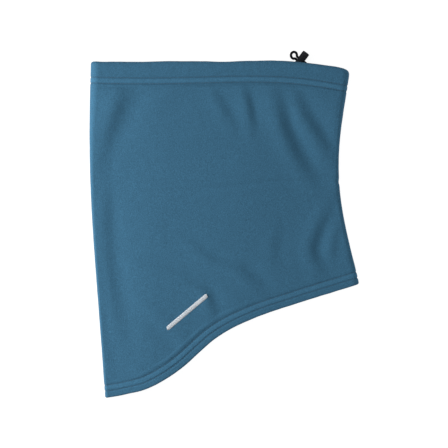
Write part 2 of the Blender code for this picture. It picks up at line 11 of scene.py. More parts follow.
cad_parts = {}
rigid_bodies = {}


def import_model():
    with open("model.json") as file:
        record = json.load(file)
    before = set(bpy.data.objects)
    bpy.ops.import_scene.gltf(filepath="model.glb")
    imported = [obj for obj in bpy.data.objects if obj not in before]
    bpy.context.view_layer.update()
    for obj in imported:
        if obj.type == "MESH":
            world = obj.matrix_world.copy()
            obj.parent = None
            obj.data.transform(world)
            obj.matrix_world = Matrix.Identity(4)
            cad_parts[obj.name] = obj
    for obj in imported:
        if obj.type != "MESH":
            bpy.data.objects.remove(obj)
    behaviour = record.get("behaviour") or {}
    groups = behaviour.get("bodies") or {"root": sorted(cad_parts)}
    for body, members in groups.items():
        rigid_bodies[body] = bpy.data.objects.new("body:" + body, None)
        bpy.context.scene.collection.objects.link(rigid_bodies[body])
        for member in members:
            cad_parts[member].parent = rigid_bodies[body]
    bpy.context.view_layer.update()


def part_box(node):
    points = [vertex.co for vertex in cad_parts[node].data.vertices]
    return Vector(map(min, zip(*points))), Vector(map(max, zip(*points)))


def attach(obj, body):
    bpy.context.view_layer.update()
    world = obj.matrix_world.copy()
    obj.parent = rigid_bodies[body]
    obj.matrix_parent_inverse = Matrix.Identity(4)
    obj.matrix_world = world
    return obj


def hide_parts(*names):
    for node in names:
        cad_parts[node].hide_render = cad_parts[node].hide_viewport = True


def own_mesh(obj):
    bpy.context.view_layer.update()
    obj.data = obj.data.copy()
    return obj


MM = 0.001

# Outline of the cloth, lying flat, as the CAD part has it
TOP_WIDTH = 0.2741  # front fold to back seam, along the top edge
FRONT_LENGTH = 0.3569  # top edge to the tip of the bib, down the front fold
BACK_LENGTH = 0.2268  # top edge to the hem, down the back seam
BACK_DROP = 0.0094  # the back end of the top edge lies this much lower than the front end
FRONT_TAPER = 0.0153  # the tip of the bib stands in from the top corner
BACK_FLARE = 0.0107  # the back corner of the hem stands out from the top corner
TOP_CROWN = 0.0072  # rise of the top edge over the straight line between its ends
FRONT_BULGE = 0.0056  # the front fold bows out
FRONT_BULGE_SKEW = 0.0013  # and does so more near the top
BACK_WAIST = 0.0162  # the back seam bows in
BACK_WAIST_POWER = 1.15
# The hem's sweep from the bib's tip to the back corner, as shares of its width and of its rise.
HEM_SWEEP = (
    (0.0, 0.0),
    (0.081, 0.034),
    (0.176, 0.094),
    (0.294, 0.253),
    (0.437, 0.530),
    (0.579, 0.697),
    (0.769, 0.842),
    (1.0, 1.0),
)

# Cloth, hems and thread
FLEECE = 0.0016  # thickness of one layer
GAP = 0.0003
CASING_DEPTH = 0.0250
CASING_STITCH = (0.0170, 0.0233)
HEM_DEPTH = 0.0150
HEM_STITCH = (0.0071, 0.0134)
THREAD = 0.00045
STITCH_LENGTH = 0.0031
GROOVE_DEPTH = 0.00055
GROOVE_HALF_WIDTH = 0.00100
PUCKER = 0.35  # share by which a groove is shallower between two stitches
SEAM_ALLOWANCE = 0.0080

# How the cloth lies. It has settled a little lower than its CAD solid.
TOP_LOFT = 0.0174
BODY_LOFT = (0.0105, 0.0082)  # at the front fold and at the back seam
CROWN = 0.0034
# Waves of the top edge: (X, rise, half width)
TOP_WAVES = (
    (-0.128, -0.0005, 0.008),
    (-0.060, 0.0006, 0.020),
    (0.001, -0.0014, 0.018),
    (0.032, -0.0007, 0.014),
    (0.124, 0.0008, 0.014),
)
# A notch where a crease crosses the back fold: (Y, depth, half width)
BACK_NOTCH = (0.0500, 0.0007, 0.0030)
REAR_SLIP = 0.0150

# Drawcord and cord lock
CORD = 0.0025
CORD_INSET = 0.0090
LOCK_ALONG = 0.8097
LOCK_RISE = 0.0021
LOCK_ANGLE = math.radians(53.13)
BARREL_RADIUS = 0.0040
BARREL_WALL = 0.00080
BARREL_ABOVE = 0.0107
BARREL_BELOW = 0.0046
BUTTON_TRAVEL = 0.0022
BUTTON_RADIUS = 0.0036
BUTTON_THICKNESS = 0.0027
SPRING_WIRE = 0.00035
SPRING_TURNS = 4.5
PLUNGER_END = 0.0012
BUTTONHOLE_LENGTH = 0.0088
BUTTONHOLE_WIDTH = 0.0034
BUTTONHOLE_STITCH = 0.0009
BUTTONHOLE_OFFSETS = (-0.0005, 0.0240)

CASING = 2 * FLEECE + CORD + 2 * GAP
HEM = 2 * FLEECE + GAP
TUNNEL_DEPTH = FLEECE + GAP + CORD / 2
CORD_LIFT = CORD + 4 * GAP
TOP_ZONE = CASING_DEPTH + 0.005
HEM_ZONE = HEM_DEPTH + 0.005

# Corners of the outline, as (radius at the front fold, radius at the back seam)
TOP_CORNERS = (0.0020, 0.0062)
HEM_CORNERS = (0.0022, 0.0026)

# Soft folds of the front layer: (route in mm, height in mm, half width in mm). The cloth stands that high
# above its middle level on the right-hand side of the route, and as far below it on the left-hand side.
FOLDS = (
    (((-99, 152), (-113, 122), (-133, 90)), 2.5, 12.5),
    (((-128, 60), (-121, -40), (-108, -110)), 1.1, 9),
    (((-12, 150), (-2, 132), (9, 112)), 0.8, 6),
    (((22, 152), (27, 130), (31, 106)), 1.2, 5.5),
    (((57, 156), (60, 130), (67, 103), (79, 77), (94, 54)), 1.9, 8),
    (((73, 154), (81, 132), (92, 113), (107, 92), (129, 60)), 1.9, 8),
    (((114, 24), (101, 0), (94, -24), (108, -48)), 1.5, 7),
    (((128, 12), (119, -8), (115, -32)), 1.0, 5),
    (((-40, -12), (-11, -31), (17, -42)), 0.7, 6),
    (((12, -38), (28, -50), (44, -66)), 1.0, 7),
    (((-100, -30), (-67, -40), (-36, -53), (-18, -68)), 0.5, 6),
    (((-20, -62), (-14, -76), (-8, -94)), 0.9, 6),
    (((-46, -120), (-70, -101), (-92, -81)), 0.6, 7),
    (((57, 0), (54, -18), (52, -36)), 0.5, 6),
)
# A faint crease across the front layer, drawn only as painted shade with painted light just below it: its route
# in mm, and its half width in mm
CREASE = ((-84, 41), (-12, 45), (46, 52), (112, 54.5))
CREASE_HALF_WIDTH = 2.4
# How much painted shade darkens the pile in the crease and in the needle lines, against the painted highlight
# on the band between two lines
CREASE_SHADE = 0.5
CASING_SHADE = 0.8
HEM_SHADE = 0.5
FLOOR_CLEARANCE = 0.00004  # how far the cloth's underside stays above the table
# Unevenness of the pile: (size of a tuft, its height, seed)
TUFTS = ((1.7 * MM, 0.05 * MM, 3.1), (9 * MM, 0.12 * MM, 8.3))
SEAM_TUFT = (2.5 * MM, 0.10 * MM, 5.7)

# Camera and light
CAMERA_HEIGHT = 2.6
FRAME_WIDTH = 0.4745  # width of the picture at the height of the cloth's edge
FRAME_MIDDLE = (-0.0007, 0.0056)
OUTLINE_HEIGHT = 0.009
PICTURE_SENSOR = 36.0  # mm


# The flat cloth. f is the share of the width from the front fold (0) to the back seam (1). A row runs from the
# top edge to the hem: 0 to 1 is the casing zone, 1 to 2 the body, and 2 to 3 the hem zone.
def smooth_step(low, high, value):
    share = np.clip((value - low) / (high - low), 0.0, 1.0)
    return share * share * (3 - 2 * share)


def smooth_curve(points, count):
    """count places along a smooth curve through points."""
    points = np.array(points, float)
    spans = len(points) - 1
    padded = np.vstack([2 * points[0] - points[1], points, 2 * points[-1] - points[-2]])
    at = np.linspace(0, spans, count)
    i = np.minimum(at.astype(int), spans - 1)
    t = (at - i)[:, None]
    p0, p1, p2, p3 = (padded[i + k] for k in range(4))
    return 0.5 * (
        2 * p1
        + (p2 - p0) * t
        + (2 * p0 - 5 * p1 + 4 * p2 - p3) * t**2
        + (3 * p1 - p0 - 3 * p2 + p3) * t**3
    )


HEM_CURVE = smooth_curve(HEM_SWEEP, 2001)
FRONT_TOP = np.array((0.0, 0.0))
BACK_TOP = np.array((TOP_WIDTH, -BACK_DROP))
BACK_HEM = BACK_TOP + (BACK_FLARE, -BACK_LENGTH)
BIB_TIP = np.array((FRONT_TAPER, -FRONT_LENGTH))


def from_top(distance):
    return distance / TOP_ZONE


def from_hem(distance):
    return 3 - distance / HEM_ZONE


def between(one, other, share):
    share = np.asarray(share, float)[..., None]
    return one * (1 - share) + other * share


def shifted_up(points, rise):
    return points + np.stack([np.zeros_like(rise), rise], -1)


def top_edge(f):
    f = np.clip(f, 0, 1)
    return shifted_up(between(FRONT_TOP, BACK_TOP, f), TOP_CROWN * np.sin(np.pi * f * f))


def hem_edge(f):
    at = np.linspace(0, 1, len(HEM_CURVE))
    share = np.stack([np.interp(f, at, HEM_CURVE[:, axis]) for axis in (0, 1)], -1)
    return BIB_TIP + share * (BACK_HEM - BIB_TIP)


def front_fold(q):
    bow = FRONT_BULGE * math.sin(math.pi * q) + FRONT_BULGE_SKEW * math.sin(2 * math.pi * q)
    return FRONT_TOP * (1 - q) + BIB_TIP * q - (bow, 0)


def back_seam(q):
    bow = BACK_WAIST * max(0.0, math.sin(math.pi * q)) ** BACK_WAIST_POWER
    return BACK_TOP * (1 - q) + BACK_HEM * q - (bow, 0)


def below_top(f, distance):
    front = front_fold(distance / FRONT_LENGTH) - front_fold(0)
    back = back_seam(distance / BACK_LENGTH) - back_seam(0)
    return top_edge(f) + between(front, back, f)


def above_hem(f, distance):
    step = 0.005
    along = hem_edge(np.minimum(1, f + step)) - hem_edge(np.maximum(0, f - step))
    along /= np.linalg.norm(along, axis=-1, keepdims=True)
    inward = np.stack([-along[..., 1], along[..., 0]], -1) * distance
    front = front_fold(1 - distance / FRONT_LENGTH) - front_fold(1)
    back = back_seam(1 - distance / BACK_LENGTH) - back_seam(1)
    inward = between(inward, front, 1 - smooth_step(0.0, 0.15, f))
    inward = between(inward, back, smooth_step(0.85, 1.0, f))
    return hem_edge(f) + inward


def uncentred(f, row):
    f = np.asarray(f, float)
    if row <= 1:
        return below_top(f, row * TOP_ZONE)
    if row >= 2:
        return above_hem(f, (3 - row) * HEM_ZONE)
    g = row - 1
    ends = np.array((0.0, 1.0))
    top_front, top_back = below_top(ends, TOP_ZONE)
    hem_front, hem_back = above_hem(ends, HEM_ZONE)
    front_q = (TOP_ZONE + g * (FRONT_LENGTH - TOP_ZONE - HEM_ZONE)) / FRONT_LENGTH
    back_q = (TOP_ZONE + g * (BACK_LENGTH - TOP_ZONE - HEM_ZONE)) / BACK_LENGTH
    across = below_top(f, TOP_ZONE) * (1 - g) + above_hem(f, HEM_ZONE) * g
    down = between(front_fold(front_q), back_seam(back_q), f)
    both = between(top_front, top_back, f) * (1 - g) + between(hem_front, hem_back, f) * g
    return across + down - both


def outline_middle():
    steps = np.linspace(0, 1, 201)
    edge = np.vstack(
        [top_edge(steps), hem_edge(steps), [front_fold(q) for q in steps], [back_seam(q) for q in steps]]
    )
    return (edge.min(0) + edge.max(0)) / 2


MIDDLE = outline_middle()


def flat(f, row):
    return uncentred(f, row) - MIDDLE


# The flattened tube. A station is a place round it: (share along the straight stretch between the folds'
# centres, outward part, upward part). The last two are the direction that the outer surface faces there.
def rear_height(along, row):
    return CORD_LIFT * smooth_step(0.3, 0.7, along) * (1 - smooth_step(0.9, 1.3, row))


def rear_slip(along, row):
    power = math.log(0.5) / math.log(LOCK_ALONG + 0.03)
    return REAR_SLIP * np.sin(np.pi * np.minimum(1.0, along) ** power) * (1 - smooth_step(1.0, 1.6, row))


def front_height(along, row):
    """Height of the front layer, which lies a little higher in the middle than at the two folds."""
    crown = CROWN * smooth_step(0, 0.35, along) * (1 - smooth_step(0.66, 1.0, along))
    body = BODY_LOFT[0] + (BODY_LOFT[1] - BODY_LOFT[0]) * along + crown
    return TOP_LOFT + (body - TOP_LOFT) * smooth_step(1.0, 1.3, row)


def corner_inset(distance, radius):
    """How far a round corner stands in from the fold, at that distance from the corner's end."""
    left = np.clip(1 - distance / radius, 0, 1)
    return radius * (1 - np.sqrt(1 - left**2))


def place(stations, row, depth):
    """The points that lie depth inside the outer surface, at stations and one row."""
    along, outward, upward = np.asarray(stations, float).T
    ends = flat(np.array((0.0, 1.0)), row)
    width = np.linalg.norm(ends[1] - ends[0])
    half = (front_height(along, row) - rear_height(along, row)) / 2
    first = front_height(0, row) / 2
    last = (front_height(1, row) - rear_height(1, row)) / 2
    inset = first + along * (width - first - last) + outward * (half - depth)
    spot = flat(inset / width, row)
    near_front = 1 - smooth_step(0.0, 0.05, inset / width)
    near_back = smooth_step(0.93, 1.0, inset / width)
    for distance, radii in ((row * TOP_ZONE, TOP_CORNERS), ((3 - row) * HEM_ZONE, HEM_CORNERS)):
        spot[:, 0] += near_front * corner_inset(distance, radii[0])
        spot[:, 0] -= near_back * corner_inset(distance, radii[1])
    wavy = 1 - smooth_step(0.0, 0.55, row)
    for x, rise, reach in TOP_WAVES:
        spot[:, 1] += rise * np.exp(-(((spot[:, 0] - x) / reach) ** 2)) * wavy
    y, notch, reach = BACK_NOTCH
    spot[:, 0] -= near_back * notch * np.exp(-(((spot[:, 1] - y) / reach) ** 2))
    slip = rear_slip(along, row) * (1 - upward) / 2
    height = rear_height(along, row) + half + upward * (half - depth)
    return np.column_stack([spot[:, 0], spot[:, 1] - slip, height])


def fold_stations(side, steps):
    along = 0.0 if side < 0 else 1.0
    turns = [math.pi * (0.5 - i / steps) for i in range(steps + 1)]
    return [(along, side * math.cos(t), math.sin(t)) for t in turns]


def all_stations(front_columns, rear_columns, fold_steps):
    """Round the tube: the front layer, the back fold, the rear layer, the front fold."""
    front = [(i / front_columns, 0.0, 1.0) for i in range(1, front_columns)]
    rear = [(1 - i / rear_columns, 0.0, -1.0) for i in range(1, rear_columns)]
    return np.array(front + fold_stations(1, fold_steps) + rear + fold_stations(-1, fold_steps)[::-1])


# Mesh helpers
def link(name, data):
    made = bpy.data.objects.new(name, data)
    bpy.context.scene.collection.objects.link(made)
    return made


def mesh_object(name, vertices, faces, finish, smooth_angle=60):
    mesh = bpy.data.meshes.new(name)
    mesh.from_pydata([tuple(v) for v in vertices], [], [tuple(f) for f in faces])
    mesh.validate()
    mesh.materials.append(finish)
    mesh.shade_smooth()
    mesh.set_sharp_from_angle(angle=math.radians(smooth_angle))
    return link(name, mesh)


def solid_object(name, vertices, faces, finish, smooth_angle=60):
    """A mesh object whose faces are turned outwards."""
    made = mesh_object(name, vertices, faces, finish, smooth_angle)
    bm = bmesh.new()
    bm.from_mesh(made.data)
    bmesh.ops.recalc_face_normals(bm, faces=bm.faces)
    bm.to_mesh(made.data)
    bm.free()
    return made


def stand_in(made, node):
    """made takes the place of one CAD node, which is hidden."""
    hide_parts(node)
    return made


def grid_faces(rows, columns, closed):
    """Faces of a grid of points, rows by columns. A closed one joins its last column to its first."""
    faces = []
    for start in range(0, (rows - 1) * columns, columns):
        for c in range(columns if closed else columns - 1):
            one, other = start + c, start + (c + 1) % columns
            faces.append((one, other, other + columns, one + columns))
    return faces


def ring_face(start, sides):
    return tuple(range(start, start + sides))


def tube_mesh(path, radius, sides, closed=False):
    """Vertices and faces of a tube along path, whose radius may be a function of (ring, angle)."""
    path = np.asarray(path, float)
    count = len(path)
    if closed:
        along = np.roll(path, -1, 0) - np.roll(path, 1, 0)
    else:
        along = np.gradient(path, axis=0)
    along /= np.linalg.norm(along, axis=1, keepdims=True)
    side = np.cross(along[0], (0.0, 0.0, 1.0))
    if np.linalg.norm(side) < 0.2:
        side = np.cross(along[0], (0.0, 1.0, 0.0))
    vertices = []
    for i in range(count):
        side = side - along[i] * np.dot(side, along[i])
        side /= np.linalg.norm(side)
        other = np.cross(along[i], side)
        for k in range(sides):
            angle = 2 * math.pi * k / sides
            reach = radius(i, angle) if callable(radius) else radius
            vertices.append(path[i] + reach * (math.cos(angle) * side + math.sin(angle) * other))
    faces = grid_faces(count, sides, True)
    last = (count - 1) * sides
    if closed:
        faces += [(last + k, last + (k + 1) % sides, (k + 1) % sides, k) for k in range(sides)]
    else:
        faces += [ring_face(0, sides)[::-1], ring_face(last, sides)]
    return vertices, faces


def joined(parts):
    """Many (vertices, faces) as one."""
    vertices, faces = [], []
    for some_vertices, some_faces in parts:
        start = len(vertices)
        vertices += list(some_vertices)
        faces += [tuple(start + i for i in face) for face in some_faces]
    return vertices, faces


# Materials
class Shader:
    """A Principled material and short ways to add nodes to it."""

    def __init__(self, name, roughness):
        self.material = bpy.data.materials.new(name)
        self.material.use_nodes = True
        self.tree = self.material.node_tree
        self.principled = self.tree.nodes["Principled BSDF"]
        self.set("Roughness", roughness)
        self.where = self.tree.nodes.new("ShaderNodeTexCoord").outputs["Object"]

    def set(self, socket, value):
        self.principled.inputs[socket].default_value = value

    def noise(self, size, detail=2.0, distortion=0.0):
        node = self.tree.nodes.new("ShaderNodeTexNoise")
        node.inputs["Scale"].default_value = 1 / size
        node.inputs["Detail"].default_value = detail
        node.inputs["Distortion"].default_value = distortion
        self.tree.links.new(self.where, node.inputs["Vector"])
        return node.outputs["Fac"]

    def painted(self, name, share):
        """share of a value that the mesh holds at each of its points."""
        node = self.tree.nodes.new("ShaderNodeAttribute")
        node.attribute_name = name
        return self.math("MULTIPLY", node.outputs["Fac"], share)

    def cells(self, size):
        node = self.tree.nodes.new("ShaderNodeTexVoronoi")
        node.inputs["Scale"].default_value = 1 / size
        self.tree.links.new(self.where, node.inputs["Vector"])
        return node.outputs["Distance"]

    def math(self, operation, one, other):
        node = self.tree.nodes.new("ShaderNodeMath")
        node.operation = operation
        for socket, value in zip(node.inputs, (one, other)):
            if isinstance(value, (int, float)):
                socket.default_value = value
            else:
                self.tree.links.new(value, socket)
        return node.outputs["Value"]

    def ramp(self, value, stops):
        """A colour from value. stops are (place, colour)."""
        node = self.tree.nodes.new("ShaderNodeValToRGB")
        elements = node.color_ramp.elements
        while len(elements) < len(stops):
            elements.new(0.5)
        for element, (place_at, colour) in zip(elements, stops):
            element.position = place_at
            element.color = (*colour, 1)
        self.tree.links.new(value, node.inputs["Fac"])
        return node.outputs["Color"]

    def colour(self, output):
        self.tree.links.new(output, self.principled.inputs["Base Color"])

    def roughness(self, output, low, high):
        node = self.tree.nodes.new("ShaderNodeMapRange")
        node.inputs["To Min"].default_value = low
        node.inputs["To Max"].default_value = high
        self.tree.links.new(output, node.inputs["Value"])
        self.tree.links.new(node.outputs["Result"], self.principled.inputs["Roughness"])

    def bump(self, height, distance, strength=1.0):
        node = self.tree.nodes.new("ShaderNodeBump")
        node.inputs["Strength"].default_value = strength
        node.inputs["Distance"].default_value = distance
        self.tree.links.new(height, node.inputs["Height"])
        self.tree.links.new(node.outputs["Normal"], self.principled.inputs["Normal"])


def scaled(colour, share):
    return tuple(c * share for c in colour)


FLEECE_BLUE = (0.0366, 0.1165, 0.1935)


def fleece_material():
    """Brushed microfleece: a short, slightly clumped pile with a soft sheen."""
    shader = Shader("fleece_pile", 0.95)
    pile = shader.noise(0.95 * MM, 4.0, 0.5)
    clumps = shader.noise(6 * MM, 2.0, 0.4)
    both = shader.math("ADD", shader.math("MULTIPLY", pile, 0.94), shader.math("MULTIPLY", clumps, 0.06))
    stops = [
        (0.25, scaled(FLEECE_BLUE, 0.68)),
        (0.50, FLEECE_BLUE),
        (0.75, scaled(FLEECE_BLUE, 1.35)),
    ]
    # Painted light and shade: the mesh's attribute makes the pile's colour paler on the stitched bands and just
    # below the crease, and darker in the needle lines and in the crease.
    shader.colour(shader.ramp(shader.math("ADD", both, shader.painted("painted_shading", 0.10)), stops))
    shader.bump(both, 0.7 * MM, 0.7)
    shader.set("Sheen Weight", 0.09)
    shader.set("Sheen Roughness", 0.45)
    shader.set("Sheen Tint", (0.62, 0.82, 1.0, 1))
    shader.set("Specular IOR Level", 0.12)
    return shader.material


def thread_material(name, colour, sheen=0.25):
    """Twisted polyester thread: fine slanted filaments."""
    shader = Shader(name, 0.6)
    strands = shader.noise(0.16 * MM, 2.0, 1.2)
    shader.colour(shader.ramp(strands, [(0.3, scaled(colour, 0.72)), (0.7, scaled(colour, 1.18))]))
    shader.roughness(strands, 0.5, 0.75)
    shader.bump(strands, 0.08 * MM)
    shader.set("Sheen Weight", sheen)
    return shader.material


def elastic_material():
    """Braided black polyester over rubber."""
    shader = Shader("elastic_braid", 0.7)
    yarn = shader.noise(0.22 * MM, 2.0, 0.8)
    shader.colour(shader.ramp(yarn, [(0.3, (0.002, 0.002, 0.003)), (0.75, (0.010, 0.011, 0.014))]))
    shader.roughness(yarn, 0.6, 0.85)
    shader.bump(yarn, 0.10 * MM)
    shader.set("Specular IOR Level", 0.08)
    return shader.material


def plastic_material():
    """Moulded black acetal with a fine grain, a little scuffed."""
    shader = Shader("lock_acetal", 0.38)
    grain = shader.noise(0.25 * MM, 3.0)
    scuffs = shader.noise(1.6 * MM, 5.0, 1.5)
    shader.colour(shader.ramp(scuffs, [(0.35, (0.003, 0.0035, 0.005)), (0.72, (0.009, 0.010, 0.014))]))
    shader.roughness(scuffs, 0.28, 0.50)
    shader.bump(grain, 0.03 * MM)
    shader.set("Specular IOR Level", 0.22)
    return shader.material


def steel_material():
    """Drawn spring wire."""
    shader = Shader("spring_wire", 0.3)
    marks = shader.noise(0.2 * MM, 4.0, 2.0)
    shader.colour(shader.ramp(marks, [(0.3, (0.42, 0.42, 0.43)), (0.7, (0.62, 0.62, 0.63))]))
    shader.roughness(marks, 0.2, 0.42)
    shader.bump(marks, 0.01 * MM)
    shader.set("Metallic", 1.0)
    return shader.material


def label_material():
    """White woven satin tape."""
    shader = Shader("label_satin", 0.45)
    weave = shader.cells(0.35 * MM)
    shade = shader.noise(3 * MM, 2.0)
    shader.colour(shader.ramp(shade, [(0.3, (0.70, 0.70, 0.68)), (0.7, (0.80, 0.80, 0.78))]))
    shader.roughness(weave, 0.35, 0.55)
    shader.bump(weave, 0.05 * MM)
    shader.set("Sheen Weight", 0.3)
    return shader.material


def floor_material():
    shader = Shader("table_top", 0.9)
    tone = shader.noise(0.4, 2.0)
    shader.colour(shader.ramp(tone, [(0.2, (0.16, 0.16, 0.16)), (0.8, (0.20, 0.20, 0.20))]))
    shader.set("Specular IOR Level", 0.0)
    shader.set("Emission Color", (1, 1, 1, 1))
    shader.set("Emission Strength", 0.93)
    return shader.material


# Fleece. The grid's columns on each layer, steps round each fold, and rows down the body.
FRONT_COLUMNS = 236
REAR_COLUMNS = 118
FOLD_STEPS = 18
BODY_ROWS = 124


class Cloth:
    """The middle surface of the tube's fleece, as a grid from the casing's inner edge to the hem's."""

    def __init__(self):
        self.stations = all_stations(FRONT_COLUMNS, REAR_COLUMNS, FOLD_STEPS)
        self.section = cloth_section()
        self.rows, depths, self.half, self.layer = np.array(self.section).T
        self.points = np.array([place(self.stations, row, depth) for row, depth in zip(self.rows, depths)])
        self.puckers = np.zeros(self.points.shape[:2])

    def normals(self):
        """Unit normals on the outer side, from the grid's own differences."""
        round_the_tube = np.roll(self.points, -1, 1) - np.roll(self.points, 1, 1)
        down = np.gradient(self.points, axis=0)
        normal = np.cross(down, round_the_tube)
        return normal / np.linalg.norm(normal, axis=2, keepdims=True)


def groove_share(distance, lines):
    """1 on a needle line and 0 away from one."""
    return sum(math.exp(-(((distance - line) / GROOVE_HALF_WIDTH) ** 2)) for line in lines)


def layer_rows(start, end, lines, coarse, fine):
    """Distances from start to end, coarse apart but fine near the needle lines."""
    distances = [start]
    while distances[-1] < end:
        near = min(abs(distances[-1] - line) for line in lines)
        distances.append(distances[-1] + (fine if near < 2.2 * GROOVE_HALF_WIDTH else coarse))
    distances[-1] = end
    return distances


def cloth_section():
    """(row, depth of the middle surface, half thickness, layer) from the casing's inner edge over the top, down
    the outside, round the hem and up to its inner edge. layer is 0 outside and 1 on a turned-in facing."""
    coarse, fine = 1.1 * MM, 0.42 * MM
    half = FLEECE / 2
    turn = CASING / 2
    section = []

    def thin(distance, lines):
        return half * (1 - 0.5 * groove_share(distance, lines))

    tunnel_end = CASING_STITCH[0] - 0.0035
    for d in layer_rows(turn, CASING_DEPTH, CASING_STITCH, coarse, fine)[::-1]:
        level = HEM - FLEECE + (CASING - HEM) * (1 - smooth_step(tunnel_end - 0.003, tunnel_end + 0.003, d))
        thickness = thin(d, CASING_STITCH)
        section.append((from_top(d), level + thickness, thickness, 1))
    radius = turn - half
    for i in range(1, 10):
        angle = math.pi * i / 10
        section.append((from_top(turn - radius * math.sin(angle)), turn + radius * math.cos(angle), half, 0))
    for d in layer_rows(turn, TOP_ZONE, CASING_STITCH, coarse, fine):
        thickness = thin(d, CASING_STITCH)
        section.append((from_top(d), GROOVE_DEPTH * groove_share(d, CASING_STITCH) + thickness, thickness, 0))
    for i in range(1, BODY_ROWS):
        section.append((1 + i / BODY_ROWS, half, half, 0))
    turn = HEM / 2
    outer = layer_rows(turn, HEM_ZONE, HEM_STITCH, coarse, fine)
    for d in outer[::-1]:
        thickness = thin(d, HEM_STITCH)
        section.append((from_hem(d), GROOVE_DEPTH * groove_share(d, HEM_STITCH) + thickness, thickness, 0))
    radius = turn - half
    for i in range(1, 8):
        angle = math.pi * i / 8
        section.append((from_hem(turn - radius * math.sin(angle)), turn - radius * math.cos(angle), half, 0))
    for d in layer_rows(turn, HEM_DEPTH, HEM_STITCH, coarse, fine):
        thickness = thin(d, HEM_STITCH)
        section.append((from_hem(d), HEM - FLEECE + thickness, thickness, 1))
    return section


def rest_weight(cloth):
    """1 on the free middle of the front layer, 0 on the folds, the rear layer and the sewn edges."""
    along, _, upward = cloth.stations.T
    free = np.maximum(upward, 0) * smooth_step(-0.02, 0.10, along) * smooth_step(-0.03, 0.06, 1 - along)
    down = smooth_step(from_top(CASING_STITCH[1]), 1.14, cloth.rows)
    up = 1 - smooth_step(1.86, from_hem(HEM_STITCH[1]), cloth.rows)
    return (down * up * (cloth.layer == 0))[:, None] * free[None, :]


def beside(spots, route, width):
    """Where spots lie beside a route, in half widths to its right, and how fully they lie along its length."""
    line = smooth_curve(route, 25)
    heading = np.gradient(line, axis=0)
    heading /= np.linalg.norm(heading, axis=1, keepdims=True)
    away = (spots[:, :1] - line[:, 0]) ** 2 + (spots[:, 1:] - line[:, 1]) ** 2
    nearest = away.argmin(1)
    dx, dy = (spots - line[nearest]).T
    across = dx * heading[nearest, 1] - dy * heading[nearest, 0]
    past = dx * heading[nearest, 0] + dy * heading[nearest, 1]
    taper = np.sin(np.pi * (0.12 + 0.76 * nearest / (len(line) - 1)))
    return across / width, np.exp(-((past / (1.6 * width)) ** 2)) * taper


def fold_heights(points, weight):
    """Height that the soft folds add at each point of the front layer."""
    height = np.zeros(weight.shape)
    picked = weight > 0.001
    spots = points[picked][:, :2] / MM
    for route, drop, width in FOLDS:
        share, along = beside(spots, route, width)
        height[picked] += drop * MM * share * np.exp(0.5 - 0.5 * share**2) * along
    return height * weight


def crease_painted_shading(points, weight):
    """How much painted shade darkens the crease at each point of the front layer, and how much painted light
    brightens the pile just below it.
    """
    shown = np.zeros(weight.shape)
    picked = weight > 0.001
    share, along = beside(points[picked][:, :2] / MM, CREASE, CREASE_HALF_WIDTH)
    shown[picked] = (np.exp(-(share**2)) - 0.7 * np.exp(-((share - 1.8) ** 2))) * along
    return shown


def pile_noise(points, size, amount, seed):
    """A small deterministic unevenness of the pile."""
    offset = Vector((seed, 2.7 * seed, -1.3 * seed))
    values = [noise.noise(Vector(p) / size + offset) for p in points.reshape(-1, 3)]
    return amount * np.array(values).reshape(points.shape[:-1])


def hole_outline(length, width, steps=10):
    radius = width / 2
    angles = np.pi * (np.arange(steps + 1) / steps - 0.5)
    end = np.column_stack([length / 2 - radius + radius * np.cos(angles), radius * np.sin(angles)])
    return np.vstack([end, -end])


def stitched(cloth):
    """The grooves pull in more at each stitch than between two."""
    lengths = np.linalg.norm(np.roll(cloth.points, -1, 1) - cloth.points, axis=2)
    run = np.cumsum(lengths, axis=1)
    for index, (row, layer) in enumerate(zip(cloth.rows, cloth.layer)):
        share = 0.0
        if row <= 1:
            share = groove_share(row * TOP_ZONE, CASING_STITCH)
        if row >= 2:
            share = groove_share((3 - row) * HEM_ZONE, HEM_STITCH)
        if layer == 0 and share >= 0.02:
            wave = 0.5 - 0.5 * np.cos(2 * np.pi * run[index] / STITCH_LENGTH)
            cloth.puckers[index] = -PUCKER * GROOVE_DEPTH * share * wave


def build_cloth():
    cloth = Cloth()
    settle(cloth)
    cloth.points[..., 2] += fold_heights(cloth.points, rest_weight(cloth))
    stitched(cloth)
    return cloth


# The simulation runs on a coarser grid of the stretch between the two sewn edges, and its movement is spread
# over the fine one. Round the tube, a layer counts as 1 and a fold as FOLD_SHARE.
SIM_FRONT, SIM_REAR, SIM_FOLD = 60, 30, 8
SIM_ROWS = 56
SIM_FRAMES = 24
SIM_SMOOTHING = 4
SIM_SLACK = 0.004  # the front layer starts this much higher than it comes to rest
SIM_CLEARANCE = 0.0022
FOLD_SHARE = 0.2
RING = 2 + 2 * FOLD_SHARE


